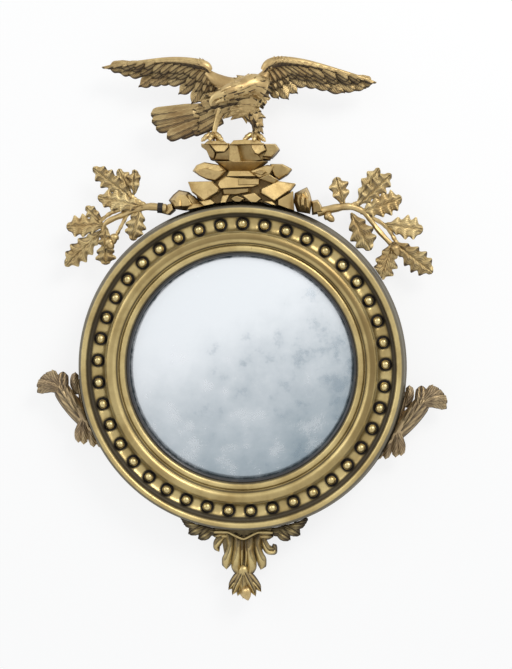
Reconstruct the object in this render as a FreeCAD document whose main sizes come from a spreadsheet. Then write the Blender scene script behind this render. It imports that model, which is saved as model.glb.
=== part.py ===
import FreeCAD
import Part
import math
import os
import Sketcher
from FreeCAD import Rotation, Vector

# Round convex mirror of carved and gilded pine, built the way a carver and gilder made it: a turned
# ring with a bent glass behind an ebonised slip, balls in its hollow, and separately carved crest,
# oak sprays, side scrolls and apron fixed to its edge.
# Frame: +Z up, the front faces -Y, the wall plane is Y = 0 and the ring's centre is the origin.

os.makedirs("parts", exist_ok=True)
doc = FreeCAD.newDocument("convex_mirror")

# ---------------------------------------------------------------- driving dimensions, millimetres
SIZES = (
    ("sight_radius", 227, "radius of the glass that shows"),
    ("plate_lap", 11, "glass hidden behind the slip"),
    ("plate_thickness", 4, ""),
    ("plate_crown", 27, "rise of the glass over its sight radius"),
    ("plate_gap", 0.3, "play between slip and glass"),
    ("slip_width", 6.4, "face of the ebonised slip"),
    ("slip_flange", 6, "thickness of the slip's flange"),
    ("slip_rise", 7, "front of the slip beyond the lip"),
    ("slip_gap", 0.3, "play round the slip"),
    ("rebate_wall", 14, "inner wall behind the slip, beyond the sight edge"),
    ("board_lap", 21, "ledge that the backboard lies on"),
    ("board_thickness", 9, ""),
    ("board_gap", 0.4, "play round the backboard"),
    ("ring_width", 107, "turned ring, from the sight edge to its outer edge"),
    ("carcass_depth", 30, "pine ring at the back"),
    ("edge_band", 6, "flat band of the moulding beside the carcass"),
    ("cove_drop", 8, "how far the side cove draws in"),
    ("bead_inset", 15, "centre line of the outer bead, from the outer edge"),
    ("bead_radius", 8.5, ""),
    ("bead_depth", 80, "front of the outer bead, from the wall"),
    ("channel_inset", 43.5, "centre line of the hollow that holds the balls, from the outer edge"),
    ("channel_radius", 20, ""),
    ("channel_seat", 14, "flat on the hollow's floor"),
    ("channel_sink", 26, "floor of the hollow below the bead's front"),
    ("torus_inset", 70.5, "centre line of the wide inner torus, from the outer edge"),
    ("torus_radius", 14, ""),
    ("torus_sink", 5, "front of the wide torus below the bead's front"),
    ("inner_radius", 9, "small inner torus"),
    ("inner_sink", 15, "front of the small torus below the bead's front"),
    ("lip_sink", 30, "back of the moulding's lip below the bead's front"),
    ("ball_radius", 9, ""),
    ("ball_spacing", 44.5, "from ball to ball round the hollow"),
    ("ball_turn", 0.6, "degrees of the first ball past the top"),
    ("block_count", 8, "glazing blocks behind the glass"),
    ("block_length", 34, ""),
    ("block_width", 9, ""),
    ("board_screws", 8, ""),
    ("screw_head_radius", 4.5, ""),
    ("screw_radius", 2.2, ""),
    ("screw_head_depth", 2.6, ""),
    ("screw_length", 18, ""),
    ("strap_width", 20, "iron straps let into the back"),
    ("strap_thickness", 3, ""),
    ("strap_spread", 34, "crest straps, from the middle"),
    ("strap_clear", 16, "strap's inner end, from the backboard"),
    ("strap_above", 92, "length of a crest strap on the rocks"),
    ("apron_strap_above", 52, "length of the apron strap beyond the ring"),
    ("seat_gap", 0.3, "play between carved work and the turned ring"),
    ("rock_depth", 78, "depth of the rockwork"),
    ("rock_height", 119, "top of the rockwork above the ring"),
    ("eagle_inset", 16, "middle plane of the eagle behind the rockwork's front"),
    ("dowel_radius", 4, ""),
    ("dowel_length", 32, ""),
    ("pin_radius", 2.5, "iron pins in the eagle's legs"),
    ("pin_length", 26, ""),
    ("spray_depth", 44, "middle plane of the oak sprays, from the wall"),
    ("leaf_thickness", 3, ""),
    ("scroll_depth", 34, "middle plane of the side scrolls, from the wall"),
    ("scroll_droop", 4, "degrees by which the right scroll sits lower"),
    ("apron_depth", 34, "middle plane of the apron, from the wall"),
    ("hanger_width", 16, ""),
    ("hanger_length", 40, "strap below the pivot"),
    ("housing_width", 34, "recess let into the carcass round a hanger"),
    ("housing_depth", 8.2, ""),
    ("housing_above", 17, "recess above the pivot"),
    ("pivot_height", 4, "pivot above the floor of its recess"),
    ("hanger_thickness", 2, ""),
    ("ring_bar_radius", 1.6, "pivot bar of the hanger ring"),
    ("ring_stock", 3.2, "thickness of the hanger ring"),
    ("ring_bend_radius", 13, "middle of the ring's half round"),
    ("pivot_clearance", 0.08, "running fit of the bar in its eye"),
    # what follows from the sizes above
    ("frame_radius", "=sight_radius + ring_width", "outer edge of the turned ring"),
    ("rebate_radius", "=sight_radius + rebate_wall", "inner wall behind the glass slip"),
    ("board_radius", "=rebate_radius + board_lap", "round backboard"),
    ("plate_radius", "=sight_radius + plate_lap", "edge of the glass"),
    ("bead_circle", "=frame_radius - bead_inset", ""),
    ("channel_circle", "=frame_radius - channel_inset", ""),
    ("torus_circle", "=frame_radius - torus_inset", ""),
    ("inner_circle", "=sight_radius + slip_width + inner_radius * 0.9", ""),
    ("cove_depth", "=bead_depth - carcass_depth - edge_band - 10", "depth of the side cove"),
    ("channel_floor", "=bead_depth - channel_sink", ""),
    ("torus_depth", "=bead_depth - torus_sink", ""),
    ("inner_depth", "=bead_depth - inner_sink", ""),
    ("lip_depth", "=bead_depth - lip_sink", ""),
    ("slip_front", "=lip_depth + slip_rise", ""),
    ("strap_below", "=frame_radius - board_radius - strap_clear", "length of a strap on the ring"),
    ("eagle_depth", "=rock_depth - eagle_inset", ""),
    ("hanger_x", "=frame_radius * 244 / 334", "hangers, from the middle"),
    ("hanger_z", "=frame_radius * 180 / 334", "pivot height of the hangers"),
)

sheet = doc.addObject("Spreadsheet::Sheet", "Sizes")
for row, (alias, value, meaning) in enumerate(SIZES, start=1):
    sheet.set(f"A{row}", alias)
    sheet.set(f"B{row}", str(value))
    sheet.set(f"C{row}", meaning)
    sheet.setAlias(f"B{row}", alias)
doc.recompute()


def size(alias):
    """Value of one driving dimension."""
    return float(sheet.get(alias))


# ---------------------------------------------------------------- sketches and turned bodies
def new_body(label):
    made = doc.addObject("PartDesign::Body", label)
    made.AllowCompound = True
    return made


def origin_part(body, role):
    return next(item for item in body.Origin.OriginFeatures if item.Role == role)


def new_sketch(body, name, role):
    sketch = body.newObject("Sketcher::SketchObject", name)
    sketch.AttachmentSupport = [(origin_part(body, role), "")]
    sketch.MapMode = "FlatFace"
    return sketch


def draw_outline(body, sketch, corners):
    """Closed outline whose corners are pairs of expressions, each corner bound by two constraints."""
    points = [Vector(float(body.evalExpression(across)), float(body.evalExpression(up)), 0)
              for across, up in corners]
    first = sketch.GeometryCount
    count = len(points)
    for index in range(count):
        sketch.addGeometry(Part.LineSegment(points[index], points[(index + 1) % count]), False)
    for index in range(count):
        following = (index + 1) % count
        sketch.addConstraint(Sketcher.Constraint("Coincident", first + index, 2, first + following, 1))
    for index, (across, up) in enumerate(corners):
        for kind, axis, text, value in (("DistanceX", -2, across, points[index].x),
                                        ("DistanceY", -1, up, points[index].y)):
            if abs(value) < 1e-9:
                sketch.addConstraint(Sketcher.Constraint("PointOnObject", first + index, 1, axis))
            else:
                made = sketch.addConstraint(Sketcher.Constraint(kind, -1, 1, first + index, 1, value))
                sketch.setExpression(f"Constraints[{made}]", text)


def round_corners(centre, depth, radius, start, end, steps):
    """Corners of a round stretch: centre line, depth of its middle, radius, and angles in degrees."""
    corners = []
    for step in range(steps + 1):
        angle = start + (end - start) * step / steps
        corners.append((f"{centre} + {radius} * cos({angle})", f"{depth} + {radius} * sin({angle})"))
    return corners


def turned(label, corners):
    """Body turned about the Y axis from an outline of radius and depth expressions."""
    body = new_body(label)
    sketch = new_sketch(body, f"{label}_outline", "XY_Plane")
    draw_outline(body, sketch, corners)
    turning = body.newObject("PartDesign::Revolution", f"{label}_turning")
    turning.Profile = sketch
    turning.ReferenceAxis = (sketch, ["V_Axis"])
    turning.Angle = 360
    return body


def repeated(body, feature, name, occurrences):
    """Polar pattern of a feature about the Y axis."""
    pattern = body.newObject("PartDesign::PolarPattern", name)
    pattern.Originals = [feature]
    pattern.Axis = (origin_part(body, "Y_Axis"), [""])
    pattern.Angle = 360
    pattern.setExpression("Occurrences", occurrences)
    body.Tip = pattern
    return pattern


# ---------------------------------------------------------------- shapes for carved work
def polygon_face(points):
    return Part.Face(Part.makePolygon(list(points) + [points[0]]))


def skin(rings):
    """Closed solid over a row of rings with equal numbers of corners, all faces plane."""
    faces = [polygon_face(rings[0]), polygon_face(rings[-1])]
    for here, there in zip(rings, rings[1:]):
        count = len(here)
        for index in range(count):
            following = (index + 1) % count
            a, b, c, d = here[index], here[following], there[following], there[index]
            if abs((b - a).cross(c - a).dot(d - a)) < 1e-6:
                faces.append(polygon_face([a, b, c, d]))
            else:
                faces.append(polygon_face([a, b, c]))
                faces.append(polygon_face([a, c, d]))
    solid = Part.Solid(Part.Shell(faces))
    if solid.Volume < 0:
        solid.reverse()
    return solid


def peg(start, direction, radius, length, sides=8):
    """Whittled peg, pin or plain shank."""
    return limb([start, start + Vector(direction).normalize() * length], [radius, radius], sides=sides)


def limb(path, radii, flatten=1.0, sides=10):
    """Tapering round member along a path. flatten scales its depth."""
    rings = []
    for index, point in enumerate(path):
        before = path[max(index - 1, 0)]
        after = path[min(index + 1, len(path) - 1)]
        along = (after - before).normalize()
        reference = Vector(0, -1, 0) if abs(along.y) < 0.9 else Vector(0, 0, 1)
        across = along.cross(reference).normalize()
        through = across.cross(along).normalize()
        corners = []
        for side in range(sides):
            turn = 2 * math.pi * (side + 0.5) / sides
            corners.append(point + across * (radii[index] * math.cos(turn))
                           + through * (radii[index] * flatten * math.sin(turn)))
        rings.append(corners)
    return skin(rings)


def blade(root, tip, width, thickness, root_share=0.6, tip_share=0.3, belly=0.6):
    """Feather or leaflet: flat back, ridge in front, widest at the belly share of its length."""
    along = tip - root
    length = along.Length
    along = along.normalize()
    front = Vector(0, -1, 0)
    front = (front - along * front.dot(along)).normalize()
    across = front.cross(along)
    rings = []
    for share, wide in ((0.0, root_share), (belly, 1.0), (1.0, tip_share)):
        middle = root + along * (length * share)
        half = across * (width * wide / 2)
        ridge = front * (thickness * (1.0 if share < 1.0 else 0.6))
        rings.append([middle - half, middle + half, middle + ridge])
    return skin(rings)


def oak_leaf(base, length, angle, width, thickness, roll=0.0):
    """Oak leaf: lobed outline with a rim, and a surface that rises to its midrib."""
    lobes = ((0.00, 0.10), (0.10, 0.14), (0.26, 0.72), (0.36, 0.50), (0.55, 1.00), (0.65, 0.62),
             (0.82, 0.78), (0.90, 0.48), (1.00, 0.10))
    left = [Vector(share * length, 0, half * width / 2) for share, half in lobes]
    right = [Vector(point.x, 0, -point.z) for point in left]
    rim = Vector(0, -thickness * 0.45, 0)
    ribs = [Vector(point.x, -thickness * (0.7 + 0.9 * math.sin(math.pi * min(point.x / length, 0.9))), 0)
            for point in left]
    faces = [polygon_face(left + right[::-1])]
    for side in (left, right):
        for index in range(len(lobes) - 1):
            here, there = side[index], side[index + 1]
            faces.append(polygon_face([here, there, there + rim, here + rim]))
            faces.append(polygon_face([here + rim, there + rim, ribs[index]]))
            faces.append(polygon_face([there + rim, ribs[index + 1], ribs[index]]))
    for end in (0, -1):
        faces.append(polygon_face([left[end], left[end] + rim, ribs[end], right[end] + rim, right[end]]))
    leaf = Part.Solid(Part.Shell(faces))
    if leaf.Volume < 0:
        leaf.reverse()
    leaf.rotate(Vector(0, 0, 0), Vector(1, 0, 0), roll)
    leaf.rotate(Vector(0, 0, 0), Vector(0, 1, 0), -angle)
    leaf.translate(base)
    return leaf


def stone(x, z, wide, high, deep, top=0.85, lean=0.0, tilt=0.0, front=0.0):
    """Hewn stone with plane faces, its back towards the wall, front is the set-back of its back."""
    outline = ((-1.0, 0.35), (-0.62, -0.8), (0.1, -1.0), (0.7, -0.75), (1.0, 0.1), (0.9, 1.0), (-0.85, 1.0))
    rings = []
    for level, scale, shift in ((-0.5, 1.0, 0.0), (0.5, top, lean)):
        corners = [Vector(a * scale * wide / 2 + shift, b * scale * deep / 2 + (1 - scale) * deep / 2,
                          level * high) for a, b in outline]
        rings.append(corners)
    block = skin(rings)
    block.rotate(Vector(0, 0, 0), Vector(0, 1, 0), tilt)
    block.translate(Vector(x, -deep / 2 - front, z))
    return block


def joined(pieces):
    made = pieces[0].multiFuse(pieces[1:]) if len(pieces) > 1 else pieces[0]
    return made.removeSplitter()


def carved(label, shape):
    """Carved or wrought piece kept as a plain shape."""
    made = doc.addObject("Part::Feature", label)
    made.Shape = shape
    return made


def screw(head, direction):
    """Countersunk wood screw, head is the middle of its face and direction runs to its point."""
    direction = Vector(direction).normalize()
    neck = head + direction * size("screw_head_depth")
    point = head + direction * size("screw_length")
    radii = [size("screw_head_radius"), size("screw_radius"), size("screw_radius") * 0.5]
    return limb([head, neck, point], radii, sides=8)


# ---------------------------------------------------------------- the turned ring
frame_moulding = turned("frame_moulding", [
    ("Sizes.rebate_radius", "-Sizes.carcass_depth"),
    ("Sizes.frame_radius", "-Sizes.carcass_depth"),
    ("Sizes.frame_radius", "-Sizes.carcass_depth - Sizes.edge_band"),
    ("Sizes.frame_radius - Sizes.cove_drop * sin(45)",
     "-Sizes.carcass_depth - Sizes.edge_band - Sizes.cove_depth * (1 - cos(45))"),
    ("Sizes.frame_radius - Sizes.cove_drop",
     "-Sizes.carcass_depth - Sizes.edge_band - Sizes.cove_depth"),
] + round_corners("Sizes.bead_circle", "-(Sizes.bead_depth - Sizes.bead_radius)", "Sizes.bead_radius",
                  -5, -160, 4) + [
    ("Sizes.channel_circle + Sizes.channel_radius * cos(42)",
     "-(Sizes.channel_floor + Sizes.channel_radius * (1 - sin(42)))"),
    ("Sizes.channel_circle + Sizes.channel_seat / 2", "-Sizes.channel_floor"),
    ("Sizes.channel_circle - Sizes.channel_seat / 2", "-Sizes.channel_floor"),
    ("Sizes.channel_circle - Sizes.channel_radius * cos(45)",
     "-(Sizes.channel_floor + Sizes.channel_radius * (1 - sin(45)))"),
] + round_corners("Sizes.torus_circle", "-(Sizes.torus_depth - Sizes.torus_radius)",
                  "Sizes.torus_radius", -15, -150, 4)
  + round_corners("Sizes.inner_circle", "-(Sizes.inner_depth - Sizes.inner_radius)",
                  "Sizes.inner_radius", -20, -150, 3) + [
    ("Sizes.sight_radius + Sizes.slip_width + Sizes.slip_gap", "-Sizes.lip_depth"),
    ("Sizes.rebate_radius", "-Sizes.lip_depth"),
])

carcass_turning = turned("carcass_turning", [
    ("Sizes.rebate_radius", "-Sizes.carcass_depth"),
    ("Sizes.frame_radius", "-Sizes.carcass_depth"),
    ("Sizes.frame_radius", "0"),
    ("Sizes.board_radius + Sizes.board_gap", "0"),
    ("Sizes.board_radius + Sizes.board_gap", "-Sizes.board_thickness"),
    ("Sizes.rebate_radius", "-Sizes.board_thickness"),
])

ebonised_slip = turned("ebonised_slip", [
    ("Sizes.sight_radius", "-(Sizes.lip_depth - Sizes.slip_flange)"),
    ("Sizes.rebate_radius - Sizes.slip_gap", "-(Sizes.lip_depth - Sizes.slip_flange)"),
    ("Sizes.rebate_radius - Sizes.slip_gap", "-Sizes.lip_depth"),
    ("Sizes.sight_radius + Sizes.slip_width", "-Sizes.lip_depth"),
    ("Sizes.sight_radius + Sizes.slip_width", "-Sizes.slip_front"),
    ("Sizes.sight_radius + Sizes.slip_width / 3", "-Sizes.slip_front"),
    ("Sizes.sight_radius", "-(Sizes.slip_front - Sizes.slip_width / 3)"),
])


def dome_corner(share, behind):
    """Point of the bent glass at a share of its radius; behind is the distance from its front face."""
    radius = f"Sizes.plate_radius * {share}"
    sphere = "((Sizes.sight_radius ^ 2 + Sizes.plate_crown ^ 2) / (2 * Sizes.plate_crown))"
    rise = f"(sqrt({sphere} ^ 2 - ({radius}) ^ 2) - sqrt({sphere} ^ 2 - Sizes.sight_radius ^ 2))"
    seat = "(Sizes.lip_depth - Sizes.slip_flange - Sizes.plate_gap)"
    return radius, f"-({seat}) - {rise} + {behind}"


DOME_BANDS = 2
mirror_plate = turned("mirror_plate", (
    [dome_corner(band / DOME_BANDS, "0") for band in range(DOME_BANDS + 1)]
    + [dome_corner(band / DOME_BANDS, "Sizes.plate_thickness") for band in range(DOME_BANDS, -1, -1)]))

board_turning = turned("board_turning", [
    ("0", "-Sizes.board_thickness"),
    ("Sizes.board_radius", "-Sizes.board_thickness"),
    ("Sizes.board_radius", "0"),
    ("0", "0"),
])

# Softwood blocks glued to the rebate wall hold the glass from behind.
glazing_blocks = new_body("glazing_blocks")
block_sketch = new_sketch(glazing_blocks, "block_outline", "XZ_Plane")
block_wall = "sqrt((Sizes.rebate_radius - Sizes.slip_gap) ^ 2 - (Sizes.block_length / 2) ^ 2)"
block_front = "(Sizes.lip_depth - Sizes.slip_flange - Sizes.plate_gap - Sizes.plate_thickness - 3)"
draw_outline(glazing_blocks, block_sketch, [
    (f"{block_wall} - Sizes.block_width", "-Sizes.block_length / 2"),
    (block_wall, "-Sizes.block_length / 2"),
    (block_wall, "Sizes.block_length / 2"),
    (f"{block_wall} - Sizes.block_width", "Sizes.block_length / 2"),
])
block_sketch.setExpression(".AttachmentOffset.Base.z", "Sizes.board_thickness + 12")
block_pad = glazing_blocks.newObject("PartDesign::Pad", "block_pad")
block_pad.Profile = block_sketch
block_pad.setExpression("Length", f"{block_front} - Sizes.board_thickness - 12")
repeated(glazing_blocks, block_pad, "block_ring", "Sizes.block_count")

# Turned balls, each flattened where it is glued to the floor of the hollow.
SEAT_SHARE = 0.55
ball_middle = size("channel_floor") + size("ball_radius") * math.sqrt(1 - SEAT_SHARE ** 2)
ball_count = round(2 * math.pi * size("channel_circle") / size("ball_spacing"))
ball_path = []
ball_radii = []
for slope in (-math.degrees(math.acos(SEAT_SHARE)), 0, 55):
    ball_path.append(Vector(0, -ball_middle - size("ball_radius") * math.sin(math.radians(slope)),
                            size("channel_circle")))
    ball_radii.append(size("ball_radius") * math.cos(math.radians(slope)))
one_ball = limb(ball_path, ball_radii, sides=8)
balls = []
for index in range(ball_count):
    ball = one_ball.copy()
    ball.rotate(Vector(0, 0, 0), Vector(0, 1, 0), size("ball_turn") + 360.0 * index / ball_count)
    balls.append(ball)
carved("ball_ornaments", Part.makeCompound(balls))


# ---------------------------------------------------------------- irons, screws and pins
def box(name, length, width, height, x, y, z):
    """Bar of stock with its dimensions and corner bound to the sheet."""
    made = doc.addObject("Part::Box", name)
    for prop, text in (("Length", length), ("Width", width), ("Height", height),
                       (".Placement.Base.x", x), (".Placement.Base.y", y), (".Placement.Base.z", z)):
        made.setExpression(prop, text)
    return made


def rod(name, radius, length, x, y, z):
    """Round bar along X, from its middle."""
    made = doc.addObject("Part::Cylinder", name)
    made.Placement = FreeCAD.Placement(Vector(0, 0, 0), Rotation(Vector(0, 1, 0), 90))
    for prop, text in (("Radius", radius), ("Height", length), (".Placement.Base.x", f"{x} - ({length}) / 2"),
                       (".Placement.Base.y", y), (".Placement.Base.z", z)):
        made.setExpression(prop, text)
    return made


def fused(name, pieces):
    made = doc.addObject("Part::MultiFuse", name)
    made.Shapes = pieces
    return made


def cut(name, base, tools):
    """Base less the tools, which stay sub-parts of their own where they have a file."""
    made = doc.addObject("Part::Cut", name)
    made.Base = base
    made.Tool = tools[0] if len(tools) == 1 else gathered(f"{name}_tools", tools)
    return made


def gathered(name, pieces):
    made = doc.addObject("Part::Compound", name)
    made.Links = pieces
    return made


def screw_group(name, heads, direction):
    return carved(name, Part.makeCompound([screw(head, direction) for head in heads]))


FRONT = Vector(0, -1, 0)
frame_radius = size("frame_radius")

ledge_middle = (size("rebate_radius") + size("board_radius")) / 2
board_heads = []
for index in range(int(size("board_screws"))):
    turn = 2 * math.pi * (index + 0.5) / size("board_screws")
    board_heads.append(Vector(ledge_middle * math.sin(turn), 0, ledge_middle * math.cos(turn)))
backboard_screws = screw_group("backboard_screws", board_heads, FRONT)

crest_heads = []
for side in (-1, 1):
    for up in (-38, -18, 30, 70):
        crest_heads.append(Vector(side * size("strap_spread"), 0, frame_radius + up))
crest_strap_screws = screw_group("crest_strap_screws", crest_heads, FRONT)
apron_heads = [Vector(0, 0, -frame_radius - down) for down in (-38, -18, 18, 36)]
apron_strap_screws = screw_group("apron_strap_screws", apron_heads, FRONT)

strap_bars = {}
for label, side in (("crest_strap_left", -1), ("crest_strap_right", 1)):
    strap_bars[label] = box(f"{label}_bar", "Sizes.strap_width", "Sizes.strap_thickness",
                            "Sizes.strap_below + Sizes.strap_above",
                            f"{side} * Sizes.strap_spread - Sizes.strap_width / 2",
                            "-Sizes.strap_thickness", "Sizes.frame_radius - Sizes.strap_below")
    cut(label, strap_bars[label], [crest_strap_screws])
strap_bars["apron_strap"] = box("apron_strap_bar", "Sizes.strap_width", "Sizes.strap_thickness",
                                "Sizes.strap_below + Sizes.apron_strap_above", "-Sizes.strap_width / 2",
                                "-Sizes.strap_thickness", "-Sizes.frame_radius - Sizes.apron_strap_above")
cut("apron_strap", strap_bars["apron_strap"], [apron_strap_screws])

# Hangers: a strap rolled into an eye, and a half-round ring that swings in it. Both lie in a recess.
hanger_heads = []
housings = []
for side in (-1, 1):
    for below in (16, 31):
        hanger_heads.append(Vector(side * size("hanger_x"), size("hanger_thickness") - size("housing_depth"),
                                   size("hanger_z") - below))
hanger_screws = screw_group("hanger_screws", hanger_heads, FRONT)
PIVOT_Y = "Sizes.pivot_height - Sizes.housing_depth"
for word, side in (("left", -1), ("right", 1)):
    middle = f"{side} * Sizes.hanger_x"
    housings.append(box(f"housing_{word}", "Sizes.housing_width", "Sizes.housing_depth",
                        "Sizes.hanger_length + Sizes.housing_above + 1", f"{middle} - Sizes.housing_width / 2",
                        "-Sizes.housing_depth", "Sizes.hanger_z - Sizes.hanger_length - 1"))
    flat = box(f"hanger_flat_{word}", "Sizes.hanger_width", "Sizes.hanger_thickness", "Sizes.hanger_length",
               f"{middle} - Sizes.hanger_width / 2", "-Sizes.housing_depth",
               "Sizes.hanger_z - Sizes.hanger_length")
    eye = rod(f"hanger_eye_{word}", "Sizes.ring_bar_radius + Sizes.pivot_clearance + Sizes.hanger_thickness",
              "Sizes.hanger_width", middle, PIVOT_Y, "Sizes.hanger_z")
    bore = rod(f"hanger_bore_{word}", "Sizes.ring_bar_radius + Sizes.pivot_clearance",
               "Sizes.hanger_width + 2", middle, PIVOT_Y, "Sizes.hanger_z")
    cut(f"hanger_strap_{word}", fused(f"hanger_blank_{word}", [flat, eye]), [bore, hanger_screws])
    bar = rod(f"ring_bar_{word}", "Sizes.ring_bar_radius", "2 * Sizes.ring_bend_radius", middle, PIVOT_Y,
              "Sizes.hanger_z")
    bends = []
    for name, change in (("outer", "+"), ("inner", "-")):
        bend = doc.addObject("Part::Cylinder", f"ring_{name}_{word}")
        bend.Placement = FreeCAD.Placement(Vector(0, 0, 0), Rotation(Vector(1, 0, 0), -90))
        bend.Angle = 180
        for prop, text in (("Radius", f"Sizes.ring_bend_radius {change} Sizes.ring_stock / 2"),
                           ("Height", "Sizes.ring_stock"), (".Placement.Base.x", middle),
                           (".Placement.Base.y", f"{PIVOT_Y} - Sizes.ring_stock / 2"),
                           (".Placement.Base.z", "Sizes.hanger_z")):
            bend.setExpression(prop, text)
        bends.append(bend)
    fused(f"hanger_ring_{word}", [cut(f"ring_bow_{word}", bends[0], [bends[1]]), bar])

# Dowels that hold the side scrolls, driven into the edge of the carcass.
scroll_pegs = []
for base, turns in ((-1, (105, 111)), (1, (105 + size("scroll_droop"), 111 + size("scroll_droop")))):
    for turn in turns:
        outward = Vector(base * math.sin(math.radians(turn)), 0, math.cos(math.radians(turn)))
        middle = outward * frame_radius + FRONT * size("carcass_depth") / 2
        scroll_pegs.append(peg(middle - outward * size("dowel_length") / 2, outward,
                               size("dowel_radius"), size("dowel_length")))
scroll_dowels = carved("scroll_dowels", Part.makeCompound(scroll_pegs))

backboard = cut("backboard", board_turning, [backboard_screws])
carcass_ring = cut("carcass_ring", carcass_turning,
                   list(strap_bars.values()) + housings + [backboard_screws, crest_strap_screws,
                                                           apron_strap_screws, hanger_screws, scroll_dowels])
doc.recompute()


# ---------------------------------------------------------------- rockwork of the crest
WALL_RADIUS = frame_radius + size("seat_gap")
RING_SPACE = Part.makeCylinder(WALL_RADIUS, 400, Vector(0, 100, 0), FRONT)


def seated(shape, *neighbours):
    """Carved work scribed to the ring's edge and to the neighbours it meets."""
    return shape.cut([RING_SPACE] + list(neighbours)).removeSplitter()


ROCK_DEPTH = size("rock_depth")
ROCK_TOP = size("rock_height")
DRAWN_HEIGHT = 119  # the rows of stones below are drawn for rocks of this height
ROCK_SHARE = ROCK_TOP / DRAWN_HEIGHT


def heap(rows):
    """Stones of one block. Each row: x, height above the ring, then the stone's own sizes."""
    return joined([stone(x, frame_radius + up * ROCK_SHARE, wide, high * ROCK_SHARE, *rest)
                   for x, up, wide, high, *rest in rows])


crest_irons = [doc.getObject(f"{label}_bar") for label in ("crest_strap_left", "crest_strap_right")]
doc.recompute()
iron_shapes = [item.Shape for item in crest_irons] + [crest_strap_screws.Shape]

# x, up, wide, high, deep, top, lean, tilt
summit = heap((
    (-2, 101, 116, 36, ROCK_DEPTH * 0.86, 1.34, 0, 0),
    (-52, 106, 52, 24, ROCK_DEPTH * 0.92, 0.88, -4, 8),
    (50, 103, 50, 28, ROCK_DEPTH * 0.94, 0.8, 5, -10),
    (0, 85, 100, 20, ROCK_DEPTH * 0.8, 0.9, 0, 0),
))
middle_rock = heap((
    (0, 54, 128, 52, ROCK_DEPTH * 0.82, 0.8, 0, 0),
    (0, 16, 190, 40, ROCK_DEPTH * 0.72, 0.8, 0, 0),
    (-70, 61, 58, 30, ROCK_DEPTH * 0.9, 0.7, -5, -6),
    (70, 60, 60, 32, ROCK_DEPTH * 0.92, 0.66, 6, 6),
    (-5, 37, 88, 24, ROCK_DEPTH, 0.9, 0, 0),
    (-76, 27, 64, 26, ROCK_DEPTH * 0.96, 0.85, -6, 24),
    (78, 25, 66, 28, ROCK_DEPTH * 0.97, 0.85, 6, -25),
    (-24, 6, 44, 26, ROCK_DEPTH * 0.9, 0.6, 0, 12),
    (24, 7, 46, 26, ROCK_DEPTH * 0.93, 0.62, 0, -10),
))
base_left = heap((
    (-118, 2, 58, 52, ROCK_DEPTH * 0.84, 0.62, 4, -22),
    (-138, -10, 34, 40, ROCK_DEPTH * 0.7, 0.7, 0, -26),
    (-84, -2, 40, 34, ROCK_DEPTH * 0.8, 0.7, 0, -14),
))
base_right = heap((
    (122, 4, 42, 56, ROCK_DEPTH * 0.86, 0.66, -3, 18),
    (152, -14, 36, 46, ROCK_DEPTH * 0.76, 0.66, 0, 26),
    (92, -4, 40, 34, ROCK_DEPTH * 0.8, 0.7, 0, 14),
))
middle_whole = middle_rock.cut(summit)
rock_summit = seated(summit, *iron_shapes)
rock_middle = seated(middle_whole, *iron_shapes)
rock_base_left = seated(base_left, middle_whole)
rock_base_right = seated(base_right, middle_whole)


# ---------------------------------------------------------------- the eagle
EAGLE_DEPTH = size("eagle_depth")


def eagle(x, up, out=0.0):
    """Point of the eagle: x, height above the rock it stands on, distance out of its middle plane."""
    return Vector(x, -EAGLE_DEPTH - out, frame_radius + ROCK_TOP + up)


def spread(points, share):
    """Point at a share of a polyline's length."""
    runs = [(there - here).Length for here, there in zip(points, points[1:])]
    left = share * sum(runs)
    for here, there, run in zip(points, points[1:], runs):
        if left <= run:
            return here + (there - here) * (left / run)
        left -= run
    return points[-1]


def wing(edge, tips, roots, web, radii):
    """Wing: rolled leading edge, a core, one feather to each tip and shorter coverts in front of them."""
    core = polygon_face([eagle(*point) for point in web]).extrude(Vector(0, 9, 0))
    line = [eagle(*point) for point in edge]
    pieces = [core, limb(line, radii, sides=8)]
    root_line = [eagle(*point) for point in roots]
    for index, tip in enumerate(tips):
        root = spread(root_line, index / (len(tips) - 1))
        end = eagle(*tip)
        wide = 18 + 0.09 * (end - root).Length
        pieces.append(blade(root, end, wide, 7, 0.8, 0.3, 0.7))
        covert = root + (end - root) * 0.55 + Vector(0, -4, 0)
        pieces.append(blade(root + Vector(0, -3, 0), covert, wide * 0.95, 7, 0.8, 0.45, 0.65))
    return joined(pieces)


wing_left = wing(
    edge=((-62, 140, 6), (-74, 152, 6), (-104, 160, 4), (-146, 163, 2), (-200, 159, 0), (-264, 153, 0)),
    tips=((-56, 84), (-80, 78), (-100, 78), (-126, 98), (-150, 118), (-170, 120), (-186, 116), (-206, 113),
          (-228, 136), (-246, 142), (-268, 152)),
    roots=((-48, 132), (-80, 146), (-140, 155), (-216, 156)),
    web=((-36, 112), (-62, 146), (-146, 164), (-240, 155), (-196, 136), (-150, 132), (-108, 104), (-70, 88)),
    radii=(7, 12, 10, 8, 6, 2.5))
wing_right = wing(
    edge=((46, 140, 6), (60, 154, 6), (84, 160, 4), (130, 155, 2), (190, 141, 0), (260, 121, 0)),
    tips=((52, 94), (76, 88), (96, 86), (114, 98), (134, 112), (158, 111), (182, 106), (208, 99), (232, 103),
          (250, 108), (263, 118)),
    roots=((44, 132), (72, 148), (120, 148), (226, 128)),
    web=((30, 108), (46, 142), (82, 162), (180, 141), (244, 122), (196, 116), (128, 124), (92, 100), (62, 94)),
    radii=(8, 13, 11, 8, 6, 3))

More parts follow.
